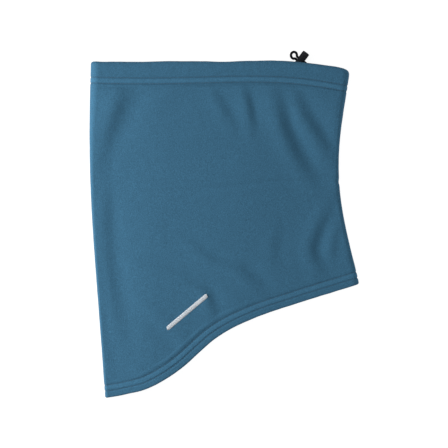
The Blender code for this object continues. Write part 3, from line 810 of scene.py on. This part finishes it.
def settle(cloth):
    """Lets the front layer come to rest on the loft inside the gaiter."""
    stations = all_stations(SIM_FRONT, SIM_REAR, SIM_FOLD)
    first, last = from_top(CASING_STITCH[1]), from_hem(HEM_STITCH[1])
    rows = np.linspace(first, last, SIM_ROWS)
    rest = np.array([place(stations, row, FLEECE / 2) for row in rows])
    count = rest.shape[1]
    along, _, upward = stations.T
    free = smooth_step(0.5, 1.0, upward)
    down = np.minimum(np.arange(SIM_ROWS), SIM_ROWS - 1 - np.arange(SIM_ROWS))
    slack = SIM_SLACK * smooth_step(0, 6, down)[:, None] * free * np.sin(np.pi * along)
    start = rest + slack[..., None] * (0, 0, 1)
    mesh = bpy.data.meshes.new("sim_cloth")
    mesh.from_pydata([tuple(v) for v in start.reshape(-1, 3)], [], grid_faces(SIM_ROWS, count, True))
    sheet = link("sim_cloth", mesh)
    held = sheet.vertex_groups.new(name="held")
    grip = 1 - free
    for r in range(SIM_ROWS):
        edge = 1 - smooth_step(0, 3, min(r, SIM_ROWS - 1 - r))
        for c in range(count):
            held.add([r * count + c], float(max(edge, grip[c])), "REPLACE")
    under = link("sim_under", under_mesh(stations, rows))
    under.modifiers.new("Collision", "COLLISION")
    under.collision.thickness_outer = 0.001
    under.collision.cloth_friction = 8
    modifier = sheet.modifiers.new("Cloth", "CLOTH")
    settings = modifier.settings
    settings.quality = 8
    settings.mass = 0.25
    settings.air_damping = 2.0
    settings.tension_stiffness = 12
    settings.compression_stiffness = 12
    settings.shear_stiffness = 6
    settings.bending_stiffness = 14
    settings.vertex_group_mass = "held"
    settings.pin_stiffness = 1.0
    settings.shrink_min = -0.006
    modifier.collision_settings.use_collision = True
    modifier.collision_settings.use_self_collision = False
    modifier.collision_settings.distance_min = 0.0012
    modifier.point_cache.frame_start = 1
    modifier.point_cache.frame_end = SIM_FRAMES
    for frame_number in range(1, SIM_FRAMES + 1):
        bpy.context.scene.frame_set(frame_number)
    graph = bpy.context.evaluated_depsgraph_get()
    settled = sheet.evaluated_get(graph)
    moved = np.zeros(len(settled.data.vertices) * 3)
    settled.data.vertices.foreach_get("co", moved)
    change = moved.reshape(start.shape) - rest
    for _ in range(SIM_SMOOTHING):
        change[1:-1] = 0.25 * change[:-2] + 0.5 * change[1:-1] + 0.25 * change[2:]
        change = 0.25 * np.roll(change, 1, 1) + 0.5 * change + 0.25 * np.roll(change, -1, 1)
    bpy.context.scene.frame_set(1)
    bpy.data.objects.remove(sheet)
    bpy.data.objects.remove(under)
    spread(cloth, change, stations, rows)


def under_mesh(stations, rows):
    """The loft inside the gaiter, which the front layer comes to rest on."""
    front = stations[stations[:, 2] > 0.999]
    front = front[np.argsort(front[:, 0])]
    points = np.array([place(front, row, FLEECE / 2 + SIM_CLEARANCE) for row in rows])
    mesh = bpy.data.meshes.new("sim_under")
    mesh.from_pydata([tuple(p) for p in points.reshape(-1, 3)], [], grid_faces(len(rows), len(front), False))
    if mesh.polygons[0].normal.z < 0:
        mesh.flip_normals()
    return mesh


def ring_numbers(stations):
    """A number that grows steadily round the tube: front layer, back fold, rear layer, front fold."""
    along, outward, upward = stations.T
    turn = FOLD_SHARE * (np.arctan2(np.abs(outward), upward) / np.pi)
    level = np.where(upward > 0, along, 2 - along)
    level = np.where(level > 1, level + FOLD_SHARE, level)
    folded = np.where(outward > 0, 1 + turn, RING - turn)
    return np.where(np.abs(upward) > 0.999, level, folded)


def spread(cloth, change, stations, rows):
    """Adds the coarse grid's movement to the fine one, smoothly in both directions."""
    coarse_at = ring_numbers(stations)
    fine_at = ring_numbers(cloth.stations)
    order = np.argsort(coarse_at)
    sorted_at = coarse_at[order]
    padded_at = np.concatenate([sorted_at - RING, sorted_at, sorted_at + RING])
    by_row = np.empty((len(rows), len(fine_at), 3))
    for r in range(len(rows)):
        for axis in range(3):
            values = change[r, order, axis]
            by_row[r, :, axis] = np.interp(fine_at, padded_at, np.tile(values, 3))
    inside = (cloth.layer == 0) & (cloth.rows > rows[0]) & (cloth.rows < rows[-1])
    for index in np.flatnonzero(inside):
        at = np.interp(cloth.rows[index], rows, np.arange(len(rows)))
        low = min(int(at), len(rows) - 2)
        share = at - low
        share = share * share * (3 - 2 * share) * 0.5 + share * 0.5
        cloth.points[index] += by_row[low] * (1 - share) + by_row[low + 1] * share


def fleece_tube(cloth, finish):
    """The fleece with its thickness, holed where the cord comes out, and its outer surface's grid of points."""
    normals = cloth.normals()
    rough = sum(pile_noise(cloth.points, *tuft) for tuft in TUFTS)
    half = cloth.half[:, None]
    outer = cloth.points + normals * (half + rough + cloth.puckers)[..., None]
    inner = cloth.points - normals * (half - 0.3 * rough)[..., None]
    outer[..., 2] = np.maximum(outer[..., 2], FLOOR_CLEARANCE)
    rows, columns = cloth.points.shape[:2]
    faces = without_holes(cloth, outer, inner, grid_faces(rows, columns, True))
    count = rows * columns
    edges = {}
    for face in faces:
        for one, other in zip(face, face[1:] + face[:1]):
            key = (min(one, other), max(one, other))
            edges[key] = None if key in edges else (one, other)
    solid = faces + [tuple(count + i for i in face[::-1]) for face in faces]
    solid += [(pair[1], pair[0], count + pair[0], count + pair[1]) for pair in edges.values() if pair]
    vertices = np.vstack([outer.reshape(-1, 3), inner.reshape(-1, 3)])
    used = sorted({i for face in solid for i in face})
    number = {old: new for new, old in enumerate(used)}
    solid = [tuple(number[i] for i in face) for face in solid]
    made = solid_object("fleece_tube", vertices[used], solid, finish, 75)
    # Painted highlight on the band between two needle lines and painted shade in the needle lines, kept as a
    # point attribute for the fleece material.
    painted_shading = np.repeat([painted_shading_share(row, layer) for row, layer in zip(cloth.rows, cloth.layer)], columns)
    # Painted shade in the crease, with painted light just below it.
    painted_shading -= CREASE_SHADE * crease_painted_shading(cloth.points, rest_weight(cloth)).reshape(-1)
    paint = made.data.attributes.new("painted_shading", "FLOAT", "POINT")
    paint.data.foreach_set("value", np.tile(painted_shading, 2)[used])
    return made, outer


def painted_shading_share(row, layer):
    """Painted light and shade on the pile there: a painted highlight on the band between two needle lines, and
    painted shade in a needle line.
    """
    if layer or 1 <= row <= 2:
        return 0.0
    distance, lines, shade = row * TOP_ZONE, CASING_STITCH, CASING_SHADE
    if row > 2:
        distance, lines, shade = (3 - row) * HEM_ZONE, HEM_STITCH, HEM_SHADE
    middle = (lines[0] + lines[1]) / 2
    band = math.exp(-(((distance - middle) / (0.38 * (lines[1] - lines[0]))) ** 4))
    return band - shade * groove_share(distance, lines)


def without_holes(cloth, outer, inner, faces):
    """Leaves out the faces inside each buttonhole and moves the points left there to its edge."""
    length = BUTTONHOLE_LENGTH + BUTTONHOLE_STITCH
    width = BUTTONHOLE_WIDTH + BUTTONHOLE_STITCH
    outline = hole_outline(length, width)
    rear = (cloth.stations[:, 2] < -0.999)[None, :] & (cloth.layer == 0)[:, None]
    inside_any = np.zeros(cloth.points.shape[:2], bool)
    for middle in buttonhole_middles():
        dx = cloth.points[..., 0] - middle[0]
        dy = cloth.points[..., 1] - middle[1]
        reach = np.hypot(np.maximum(np.abs(dx) - (length - width) / 2, 0), dy)
        inside = (reach < width / 2) & rear
        inside_any |= inside
        for r, c in zip(*np.nonzero(inside)):
            nearest = outline[((outline - (dx[r, c], dy[r, c])) ** 2).sum(1).argmin()]
            for surface in (outer, inner):
                surface[r, c, 0] = middle[0] + nearest[0]
                surface[r, c, 1] = middle[1] + nearest[1]
    gone = inside_any.reshape(-1)
    return [face for face in faces if not all(gone[i] for i in face)]


# Thread on the cloth
def surface_line(cloth, outer, row, lift):
    """Points round the whole tube at one row, lift above the cloth's outer surface, and the normals there."""
    picked = np.flatnonzero(cloth.layer == 0)
    order = picked[np.argsort(cloth.rows[picked])]
    at = np.interp(row, cloth.rows[order], np.arange(len(order)))
    low = min(int(at), len(order) - 2)
    share = at - low
    normals = cloth.normals()[order[low]]
    points = outer[order[low]] * (1 - share) + outer[order[low + 1]] * share
    return points + normals * lift, normals


def even_points(points, spacing, closed=True):
    """Points about spacing apart along a line, with each one's place in the line."""
    line = np.vstack([points, points[:1]]) if closed else points
    run = np.concatenate([[0], np.cumsum(np.linalg.norm(np.diff(line, axis=0), axis=1))])
    count = max(2, round(run[-1] / spacing))
    at = np.linspace(0, run[-1], count, endpoint=not closed)
    return np.column_stack([np.interp(at, run, line[:, axis]) for axis in range(3)]), run[-1] / count


def needle_line(name, cloth, outer, row, finish):
    """Separate stitches that lie in the groove and dive into the cloth at both ends."""
    line, normals = surface_line(cloth, outer, row, 0.05 * MM)
    per_stitch = 6
    points, _ = even_points(line, STITCH_LENGTH / per_stitch)
    outward, _ = even_points(line + normals * MM, STITCH_LENGTH / per_stitch)
    parts = []
    for k in range(len(points) // per_stitch):
        path = []
        for i in range(per_stitch):
            index = k * per_stitch + i
            facing = outward[min(index, len(outward) - 1)] - points[index]
            facing /= max(1e-9, np.linalg.norm(facing))
            end_share = abs(2 * i / (per_stitch - 1) - 1)
            path.append(points[index] + facing * (0.16 * MM - 0.62 * MM * end_share**3))
        parts.append(tube_mesh(path, THREAD / 2, 6))
    return mesh_object(name, *joined(parts), finish)


def looper_line(name, rows, finish, stations):
    """The zigzag of thread on the inside that ties the two needle lines together."""
    depth = HEM + 0.5 * GAP + THREAD / 2
    lines = [even_points(place(stations, row, depth), STITCH_LENGTH)[0] for row in rows]
    path = []
    for one, other in zip(*lines):
        path += [one, 0.5 * (one + other), other]
    return mesh_object(name, *tube_mesh(path, THREAD / 2, 5, closed=True), finish)


# Drawcord and cord lock
def lock_middle():
    edge = flat(np.array([LOCK_ALONG]), 0)[0]
    return Vector((edge[0], edge[1] + LOCK_RISE, BARREL_RADIUS + GAP / 3))


def lock_frame():
    """The lock's own axes: X along the cord, Y up, Z along the barrel towards its closed end."""
    along = Vector((math.cos(LOCK_ANGLE), math.sin(LOCK_ANGLE), 0))
    up = Vector((0, 0, 1))
    cord = up.cross(along)
    made = Matrix((cord, up, along)).transposed().to_4x4()
    made.translation = lock_middle()
    return made


def rear_station(x):
    low, high = 0.0, 1.0
    for _ in range(30):
        along = (low + high) / 2
        if place([(along, 0.0, -1.0)], from_top(CORD_INSET), 0)[0][0] < x:
            low = along
        else:
            high = along
    return (low + high) / 2


def buttonhole_middles():
    places = [rear_station(lock_middle().x + offset) for offset in BUTTONHOLE_OFFSETS]
    return [place([(along, 0.0, -1.0)], from_top(CORD_INSET), 0)[0] for along in places]


# The free cord, seen from the lock: X along the cord, Z across its strands
STRAND = 0.0014  # half the distance between the two strands in the lock
STRAIGHT = 0.0100
LOOP_REACH = 0.0089
LOOP_LEAN = 0.0012
LOOP_RADIUS = 0.0034
LOOP_NECK = ((0.0043, STRAND), (0.0053, 0.0015))
LOOP_TURNS = (150, 120, 85, 45, 0)
# Each strand's way from the lock to its buttonhole, from the lock's middle, with heights over the table
ROUTE_A = (
    (0.0097, -0.0092, 0.0034),
    (0.0112, -0.0124, 0.0025),
    (0.0115, -0.0164, 0.00155),
    (0.0104, -0.0206, 0.00145),
    (0.0077, -0.0243, 0.00145),
)
ROUTE_B = (
    (0.0128, -0.0078, 0.0034),
    (0.0148, -0.0114, 0.0024),
    (0.0153, -0.0160, 0.00155),
    (0.0154, -0.0200, 0.00145),
    (0.0166, -0.0231, 0.00145),
)


def loop_points():
    """The loop beyond the lock, from one strand round to the other, sinking to the table."""
    turns = [math.radians(angle) for angle in LOOP_TURNS]
    bend = [(LOOP_REACH + LOOP_RADIUS * math.cos(t), LOOP_RADIUS * math.sin(t)) for t in turns]
    half = list(LOOP_NECK) + bend
    both = [(x, -z) for x, z in half] + half[-2::-1]
    start = LOOP_NECK[0][0]
    reach = LOOP_REACH + LOOP_RADIUS - start
    drop = lock_middle().z - CORD / 2 - GAP / 3
    shares = [(x - start) / reach for x, _ in both]
    spots = [(x, -drop * share, z + LOOP_LEAN * share) for (x, z), share in zip(both, shares)]
    return [lock_frame() @ Vector(spot) for spot in spots]


def strand_points(side):
    stations = (0.0020, -0.0020, -0.0060, -STRAIGHT)
    return [lock_frame() @ Vector((x, 0, side * STRAND)) for x in stations]


def route_points(offsets):
    middle = lock_middle()
    return [Vector((middle.x + x, middle.y + y, z)) for x, y, z in offsets]


def hole_points(middle, heading):
    under, inside = ROUTE_A[-1][2], middle[2] + TUNNEL_DEPTH
    climb = ((-0.62, 0.0), (-0.36, 0.05), (0.0, 0.5), (0.36, 0.95), (0.62, 1.0))
    points = []
    for along, up in climb:
        x = middle[0] + heading * along * BUTTONHOLE_LENGTH
        points.append(Vector((x, middle[1], under + up * (inside - under))))
    return points


def free_cord_route():
    first, second = buttonhole_middles()
    one = strand_points(-1) + route_points(ROUTE_A) + hole_points(first, -1)
    other = strand_points(1) + route_points(ROUTE_B) + hole_points(second, 1)
    return one[::-1] + loop_points() + other


def free_cord(finish):
    """The loop and its two strands, as a braided tube."""
    route = smooth_curve([tuple(p) for p in free_cord_route()], 4001)
    path, step = even_points(route, 0.30 * MM, closed=False)
    lay = 2.4 * MM  # length in which a yarn goes once round

    def radius(ring, angle):
        turn = 2 * math.pi * ring * step / lay
        yarns = abs(math.sin(4 * angle + 2 * turn)) * abs(math.sin(4 * angle - 2 * turn))
        return CORD / 2 * (0.99 + 0.10 * math.sqrt(yarns))

    made = solid_object("drawcord_braid", *tube_mesh(path, radius, 32), finish)
    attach(made, "gaiter")
    return stand_in(made, "drawcord_loop"), path


def hidden_cord(name, node, hole, heading, finish):
    """One run of cord inside the casing, from a buttonhole to the back seam."""
    ring = all_stations(120, 60, 12)
    # From the seam, along the rear layer and back along the front
    ring = np.roll(ring, -int(ring[:, 1].argmax()), 0)
    start = rear_station(hole[0] + heading * 0.6 * BUTTONHOLE_LENGTH)
    behind = ring[:, 2] < -0.999
    if heading < 0:
        route = [s for s, rear in zip(ring[7:], behind[7:]) if not (rear and s[0] > start)][:-1]
    else:
        route = [s for s, rear in zip(ring[1:], behind[1:]) if s[1] > 0 or (rear and s[0] > start)]
        route = [s for s in route if s[2] < 0][::-1]
    points = place(np.array([(start, 0.0, -1.0)] + route), from_top(CORD_INSET), TUNNEL_DEPTH)
    path, _ = even_points(smooth_curve(points, 12 * len(points)), 0.8 * MM, closed=False)
    made = solid_object(name, *tube_mesh(path, CORD / 2, 12), finish)
    return stand_in(made, node)


def turned_mesh(profile, sides, ribs=0, rib_depth=0.0, rib_span=(0, 0)):
    """A round solid about Z, with ribs along rib_span. profile is (radius, height) from axis to axis."""
    vertices, faces, rings = [], [], []
    for radius, height in profile:
        if radius == 0:
            rings.append([len(vertices)])
            vertices.append((0, 0, height))
            continue
        ring = []
        for i in range(sides):
            angle = 2 * math.pi * i / sides
            reach = radius
            if ribs and rib_span[0] <= height <= rib_span[1]:
                reach -= rib_depth * (0.5 - 0.5 * math.cos(ribs * angle)) ** 0.7
            ring.append(len(vertices))
            vertices.append((reach * math.cos(angle), reach * math.sin(angle), height))
        rings.append(ring)
    for one, other in zip(rings, rings[1:]):
        for i in range(sides):
            j = (i + 1) % sides
            corners = [ring[k % len(ring)] for ring, k in ((one, i), (one, j), (other, j), (other, i))]
            faces.append(tuple(dict.fromkeys(corners)))
    return vertices, faces


def round_corner(radius, height, size, quarter, steps=4):
    """Points of a rounded corner at (radius, height). quarter is 1 above and -1 below."""
    points = []
    for i in range(steps + 1):
        angle = math.pi / 2 * i / steps
        drop = size - size * math.sin(angle)
        points.append((radius - size + size * math.cos(angle), height - quarter * drop))
    return points[::-1] if quarter > 0 else points


def slot_cutter(low, high, finish):
    """A slot across the lock for the two strands, with round ends, from low to high along the barrel."""
    reach = 2 * BARREL_RADIUS
    radius = (CORD + 2 * GAP) / 2
    outline = []
    for end, middle in ((1, high - radius), (-1, low + radius)):
        for i in range(9):
            angle = math.pi * i / 8
            outline.append((end * radius * math.cos(angle), middle + end * radius * math.sin(angle)))
    count = len(outline)
    vertices = [(x, y, z) for x in (-reach, reach) for y, z in outline]
    faces = [(i, (i + 1) % count, count + (i + 1) % count, count + i) for i in range(count)]
    faces += [ring_face(0, count)[::-1], ring_face(count, count)]
    return solid_object("slot_cutter", vertices, faces, finish)


def slotted(name, mesh, low, high, finish):
    """A part of the lock, in its place, with the slot from low to high cut through it."""
    blank = solid_object("blank", *mesh, finish)
    cutter = slot_cutter(low, high, finish)
    modifier = blank.modifiers.new("Slot", "BOOLEAN")
    modifier.operation = "DIFFERENCE"
    modifier.solver = "EXACT"
    modifier.object = cutter
    graph = bpy.context.evaluated_depsgraph_get()
    cut = bpy.data.meshes.new_from_object(blank.evaluated_get(graph))
    cut.materials.clear()
    cut.materials.append(finish)
    bpy.data.objects.remove(blank)
    bpy.data.objects.remove(cutter)
    cut.set_sharp_from_angle(angle=math.radians(38))
    made = link(name, cut)
    made.matrix_world = lock_frame()
    return made


SLOT_REACH = STRAND + CORD / 2 + GAP  # from the lock's middle to each end of the slot


def lock_body(finish):
    """The ribbed barrel, with a smooth collar at each end and the cord's slot across it."""
    bore = BARREL_RADIUS - BARREL_WALL
    top = BARREL_ABOVE
    collar = 0.0013  # height of the smooth collar
    groove = 0.00028  # depth of the groove between the collar and the ribs
    profile = [(0, top - 0.00025), (BARREL_RADIUS * 0.55, top - 0.00025), (BARREL_RADIUS * 0.62, top)]
    profile += round_corner(BARREL_RADIUS, top, 0.0007, 1)
    profile += [(BARREL_RADIUS, top - collar), (BARREL_RADIUS - groove, top - collar - 0.0002)]
    ribs_top = top - collar - 0.00035
    ribs_low = -BARREL_BELOW + collar * 0.8
    profile += [(BARREL_RADIUS, ribs_top - (ribs_top - ribs_low) * i / 10) for i in range(11)]
    profile += [(BARREL_RADIUS - groove, ribs_low - 0.0002), (BARREL_RADIUS, ribs_low - 0.00045)]
    profile += round_corner(BARREL_RADIUS, -BARREL_BELOW, 0.0003, -1)
    profile += [(bore, -BARREL_BELOW), (bore, top - BARREL_WALL - GAP), (0, top - BARREL_WALL - GAP)]
    mesh = turned_mesh(profile, 160, ribs=20, rib_depth=0.00034, rib_span=(ribs_low, ribs_top))
    made = slotted("lock_barrel_ribbed", mesh, -SLOT_REACH, SLOT_REACH, finish)
    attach(made, "cord_lock")
    return stand_in(made, "lock_barrel")


def lock_button(finish):
    """The push button, domed and ringed, on its slotted stem."""
    stem = BARREL_RADIUS - BARREL_WALL - GAP
    face = -BARREL_BELOW - BUTTON_TRAVEL - GAP
    low = face - BUTTON_THICKNESS
    tip = SLOT_REACH + 0.0012
    profile = [(0, tip), (stem - 0.0003, tip), (stem, SLOT_REACH + 0.0009), (stem, face)]
    profile += [(BUTTON_RADIUS - 0.0002, face), (BUTTON_RADIUS, face - 0.0002)]
    for i in range(4):
        level = face - 0.0005 - 0.0004 * i
        profile += [(BUTTON_RADIUS, level), (BUTTON_RADIUS - 0.00018, level - 0.0002)]
    profile += round_corner(BUTTON_RADIUS, low, 0.0006, -1)
    profile += [(BUTTON_RADIUS * 0.55, low), (BUTTON_RADIUS * 0.45, low + 0.0003), (0, low + 0.0004)]
    mesh = turned_mesh(profile, 72)
    made = slotted("lock_button_ringed", mesh, -SLOT_REACH - BUTTON_TRAVEL, SLOT_REACH, finish)
    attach(made, "button")
    return stand_in(made, "lock_plunger")


def lock_coil(finish):
    """The compression spring, coiled between the plunger's end and the barrel's closed end."""
    radius = BARREL_RADIUS - BARREL_WALL - GAP - 3 * SPRING_WIRE
    low = STRAND + CORD / 2 + PLUNGER_END + 2 * GAP + SPRING_WIRE / 2
    high = BARREL_ABOVE - BARREL_WALL - 2 * GAP - SPRING_WIRE / 2
    turns = np.linspace(0, SPRING_TURNS, round(24 * SPRING_TURNS) + 1)
    angles = 2 * np.pi * turns
    heights = low + (high - low) * turns / SPRING_TURNS
    path = np.column_stack([radius * np.cos(angles), radius * np.sin(angles), heights])
    made = solid_object("lock_coil", *tube_mesh(path, SPRING_WIRE / 2, 10), finish)
    made.matrix_world = lock_frame()
    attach(made, "cord_lock")
    stand_in(made, "lock_spring")
    axis = lock_frame().to_3x3() @ Vector((0, 0, 1))
    closed_end = lock_frame() @ Vector((0, 0, high + SPRING_WIRE / 2))
    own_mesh(made)
    return made


# Trim
BAR_SIZE = (0.056, 0.0046, 0.0006)
BAR_PLACE = (-0.0396, -0.0874)
BAR_ANGLE = math.radians(40)
BAR_THREAD = 0.00042
BAR_SLANT = 0.0005  # each thread's end lies this much further along than its middle


def nearest_height(cloth, outer, x, y):
    """Height of the front layer's outer surface over one place."""
    front = (cloth.stations[:, 2] > 0.999)[None, :] & (cloth.layer == 0)[:, None]
    points = outer[front]
    away = (points[:, 0] - x) ** 2 + (points[:, 1] - y) ** 2
    picked = np.argpartition(away, 4)[:4]
    share = 1 / (away[picked] + 1e-10)
    return float((points[picked, 2] * share).sum() / share.sum())


def satin_bar(cloth, outer, finish):
    """A plain bar of satin stitch: threads laid side by side across it, over a raised core."""
    length, width, thickness = BAR_SIZE
    radius = width / 2
    spacing = BAR_THREAD * 0.92
    cosine, sine = math.cos(BAR_ANGLE), math.sin(BAR_ANGLE)
    turn = np.array([[cosine, -sine], [sine, cosine]])
    parts = []
    count = int((length - 2 * spacing) / spacing)
    for k in range(count + 1):
        x = -length / 2 + spacing + k * spacing
        over = max(0.0, abs(x) - (length / 2 - radius))
        reach = math.sqrt(max(0.0, radius**2 - over**2))
        if reach < 0.3 * MM:
            continue
        path = []
        for i in range(9):
            share = i / 8 * 2 - 1
            spot = turn @ np.array((x + BAR_SLANT * share, reach * share)) + BAR_PLACE
            base = nearest_height(cloth, outer, *spot)
            arch = thickness * (1 - share**4) - 0.35 * MM * abs(share) ** 8
            path.append((spot[0], spot[1], base + arch))
        parts.append(tube_mesh(path, BAR_THREAD / 2, 6))
    made = mesh_object("satin_stitch_bar", *joined(parts), finish)
    return stand_in(made, "embroidered_bar")


def woven_label(finish):
    """A blank tape label, sewn in along one end and a little curled at the other."""
    low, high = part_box("care_label")
    thickness = 0.25 * MM
    columns, rows = 41, 25
    vertices = []
    for side in (1, 0):
        for r in range(rows):
            for c in range(columns):
                u, v = c / (columns - 1), r / (rows - 1)
                x = low.x + (high.x - low.x) * u
                y = low.y + (high.y - low.y) * v
                curl = 0.9 * MM * (1 - u) ** 2 + 0.25 * MM * math.sin(3 * math.pi * u) * (1 - u)
                hem = 0.12 * MM * math.exp(-((u - 0.05) / 0.02) ** 2)
                vertices.append((x, y, low.z + 0.05 * MM + curl + side * (thickness + hem)))
    faces = grid_faces(rows, columns, False)
    top = len(vertices) // 2
    solid = faces + [tuple(top + i for i in face[::-1]) for face in faces]
    rim = list(range(columns)) + [r * columns + columns - 1 for r in range(1, rows)]
    rim += [(rows - 1) * columns + c for c in range(columns - 2, -1, -1)]
    rim += [r * columns for r in range(rows - 2, 0, -1)]
    solid += [(b, a, top + a, top + b) for a, b in zip(rim, rim[1:] + rim[:1])]
    made = solid_object("woven_label", vertices, solid, finish)
    return stand_in(made, "care_label")


def buttonhole_ring(letter, middle, finish):
    """Close satin stitches wrapped round the edge of a buttonhole."""
    edge = np.array((BUTTONHOLE_LENGTH, BUTTONHOLE_WIDTH)) + BUTTONHOLE_STITCH
    outline = hole_outline(*edge, 12)
    points, _ = even_points(np.column_stack([outline, np.zeros(len(outline))]), 0.42 * MM)
    count = len(points)
    half_wide = BUTTONHOLE_STITCH / 2
    half_high = FLEECE / 2 + 0.05 * MM
    centre = np.array((middle[0], middle[1], middle[2] + FLEECE / 2))
    parts = []
    for i in range(count):
        heading = points[(i + 1) % count] - points[i - 1]
        heading /= np.linalg.norm(heading)
        outward = np.array((heading[1], -heading[0], 0))
        path = []
        for k in range(12):
            angle = 2 * math.pi * k / 12
            lean = heading * 0.12 * MM * math.sin(angle)
            spot = centre + points[i] + outward * half_wide * math.cos(angle) + lean
            path.append(spot + (0, 0, half_high * math.sin(angle)))
        parts.append(tube_mesh(path, 0.19 * MM, 5, closed=True))
    made = mesh_object(f"buttonhole_satin_{letter}", *joined(parts), finish)
    return stand_in(made, f"buttonhole_thread_{letter}")


def allowance_edge():
    """The station of the seam allowance's free edge, on the rear layer."""
    return (1 - SEAM_ALLOWANCE / 2 / (TOP_WIDTH - TOP_LOFT), 0.0, -1.0)


def seam_section(columns):
    """Stations across the seam allowance, from the seam at the back fold to its free edge."""
    fold = [s for s in fold_stations(1, 24) if s[2] < -0.45]
    edge = allowance_edge()
    straight = [(1 + (edge[0] - 1) * i / columns, 0.0, -1.0) for i in range(1, columns + 1)]
    return np.array(fold + straight)


def seam_strip(finish):
    """The two cut edges of the back seam, side by side, with the pile showing on both faces."""
    stations = seam_section(4)
    rows = np.linspace(from_top(CASING_DEPTH + 2 * GAP), from_hem(HEM_DEPTH + 2 * GAP), 150)
    near, far = FLEECE + GAP, FLEECE + GAP + 2 * FLEECE
    split = (near + far) / 2
    profile = [(s, near) for s in range(len(stations))]
    profile += [(len(stations) - 1, near + 0.4 * FLEECE), (len(stations) - 1, split - 0.1 * MM)]
    profile += [(len(stations) - 2, split), (len(stations) - 1, split + 0.1 * MM)]
    profile += [(s, far) for s in range(len(stations) - 1, -1, -1)]
    grid = np.array([[place(stations[[s]], row, depth)[0] for s, depth in profile] for row in rows])
    grid[..., 2] += pile_noise(grid, *SEAM_TUFT)
    count = len(profile)
    faces = grid_faces(len(rows), count, True)
    faces += [ring_face(0, count)[::-1], ring_face((len(rows) - 1) * count, count)]
    made = solid_object("seam_allowance_edges", grid.reshape(-1, 3), faces, finish)
    return stand_in(made, "back_seam_allowance")


# One loop of the overlock: (share of its pitch, mm beyond the free edge, height in layers of fleece)
OVERLOCK_LOOP = (
    (0, 0.35, 0),
    (0.2, 0, 1.1),
    (0.35, -3.4, 1.12),
    (0.5, -3.6, 1.12),
    (0.7, 0, 1.1),
    (0.85, 0.35, 0),
)


def overlock(finish):
    """The overlock's loops round the free edge of the seam allowance."""
    edge = allowance_edge()
    first, last = from_top(CASING_DEPTH + 2 * GAP), from_hem(HEM_DEPTH + 2 * GAP)
    near, far = FLEECE + GAP, 3 * FLEECE + GAP
    centre = [place([edge], row, (near + far) / 2)[0] for row in np.linspace(first, last, 300)]
    spine, _ = even_points(np.array(centre), 2.2 * MM, closed=False)
    path = []
    for one, other in zip(spine, spine[1:]):
        along = other - one
        for share, aside, up in OVERLOCK_LOOP:
            path.append(one + along * share + (-aside * MM, 0, up * FLEECE))
    smooth = smooth_curve(path, len(path) * 2)
    made = mesh_object("overlock_loops", *tube_mesh(smooth, 0.16 * MM, 5), finish)
    return stand_in(made, "back_seam_overlock_thread")


# Stage
ROOM_LIGHT = 0.42
# (name, place, size, power)
LAMPS = (("key", (-0.92, 0.05, 0.47), 0.45, 14.4), ("fill", (1.00, -0.10, 0.45), 0.60, 2.2))


def add_camera():
    camera = link("camera", bpy.data.cameras.new("camera"))
    x, y = FRAME_MIDDLE
    camera.location = (x, y, CAMERA_HEIGHT)
    camera.data.sensor_width = PICTURE_SENSOR
    camera.data.lens = PICTURE_SENSOR * (CAMERA_HEIGHT - OUTLINE_HEIGHT) / FRAME_WIDTH
    camera.data.clip_end = 50
    bpy.context.scene.camera = camera


def add_lamp(name, location, size, power):
    """A round area light that faces the object."""
    lamp = link(name, bpy.data.lights.new(name, "AREA"))
    lamp.data.shape = "DISK"
    lamp.data.size = size
    lamp.data.energy = power
    lamp.location = location
    lamp.rotation_euler = (-Vector(location)).to_track_quat("-Z", "Y").to_euler()


def add_stage():
    """The white table, the even light of the room, and two lamps."""
    half = 4.0
    corners = [(-half, -half, 0), (half, -half, 0), (half, half, 0), (-half, half, 0)]
    mesh = bpy.data.meshes.new("floor")
    mesh.from_pydata(corners, [], [(0, 1, 2, 3)])
    mesh.materials.append(floor_material())
    link("floor", mesh)
    world = bpy.data.worlds.new("studio")
    bpy.context.scene.world = world
    world.use_nodes = True
    background = world.node_tree.nodes["Background"]
    background.inputs["Color"].default_value = (1, 1, 1, 1)
    background.inputs["Strength"].default_value = ROOM_LIGHT
    for lamp in LAMPS:
        add_lamp(*lamp)
    bpy.context.scene.view_settings.view_transform = "Standard"


def main():
    for thing in list(bpy.data.objects):
        bpy.data.objects.remove(thing)
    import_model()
    add_camera()
    elastic = elastic_material()
    fleece = fleece_material()
    thread = thread_material("tone_thread", (0.027, 0.084, 0.138), 0.08)
    bar_thread = thread_material("bar_thread_grey", (0.58, 0.62, 0.66), 0.4)
    plastic = plastic_material()

    cord_piece, path = free_cord(elastic)
    barrel = lock_body(plastic)
    button = lock_button(plastic)
    coil = lock_coil(steel_material())

    cloth = build_cloth()
    tube, outer = fleece_tube(cloth, fleece)
    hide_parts("fleece_body", "top_casing_facing", "bottom_hem_facing")
    pieces = [tube]
    lines = (
        ("casing_needle_thread_upper", from_top(CASING_STITCH[0])),
        ("casing_needle_thread_lower", from_top(CASING_STITCH[1])),
        ("hem_needle_thread_lower", from_hem(HEM_STITCH[0])),
        ("hem_needle_thread_upper", from_hem(HEM_STITCH[1])),
    )
    for node, row in lines:
        made = needle_line(node.replace("thread", "stitches"), cloth, outer, row, thread)
        pieces.append(stand_in(made, node))
    loops = (
        ("casing_looper_thread", [from_top(d) for d in CASING_STITCH]),
        ("hem_looper_thread", [from_hem(d) for d in HEM_STITCH]),
    )
    stations = all_stations(90, 90, 12)
    for node, rows in loops:
        made = looper_line(node.replace("thread", "zigzag"), rows, thread, stations)
        pieces.append(stand_in(made, node))
    holes = buttonhole_middles()
    pieces.append(hidden_cord("drawcord_front_run", "drawcord_long_run", holes[0], -1, elastic))
    pieces.append(hidden_cord("drawcord_back_run", "drawcord_short_run", holes[1], 1, elastic))
    pieces.append(seam_strip(fleece))
    pieces.append(overlock(thread))
    for letter, middle in zip("ab", holes):
        pieces.append(buttonhole_ring(letter, middle, thread))
    pieces.append(woven_label(label_material()))
    pieces.append(satin_bar(cloth, outer, bar_thread))
    for piece in pieces:
        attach(piece, "gaiter")
    add_stage()


main()
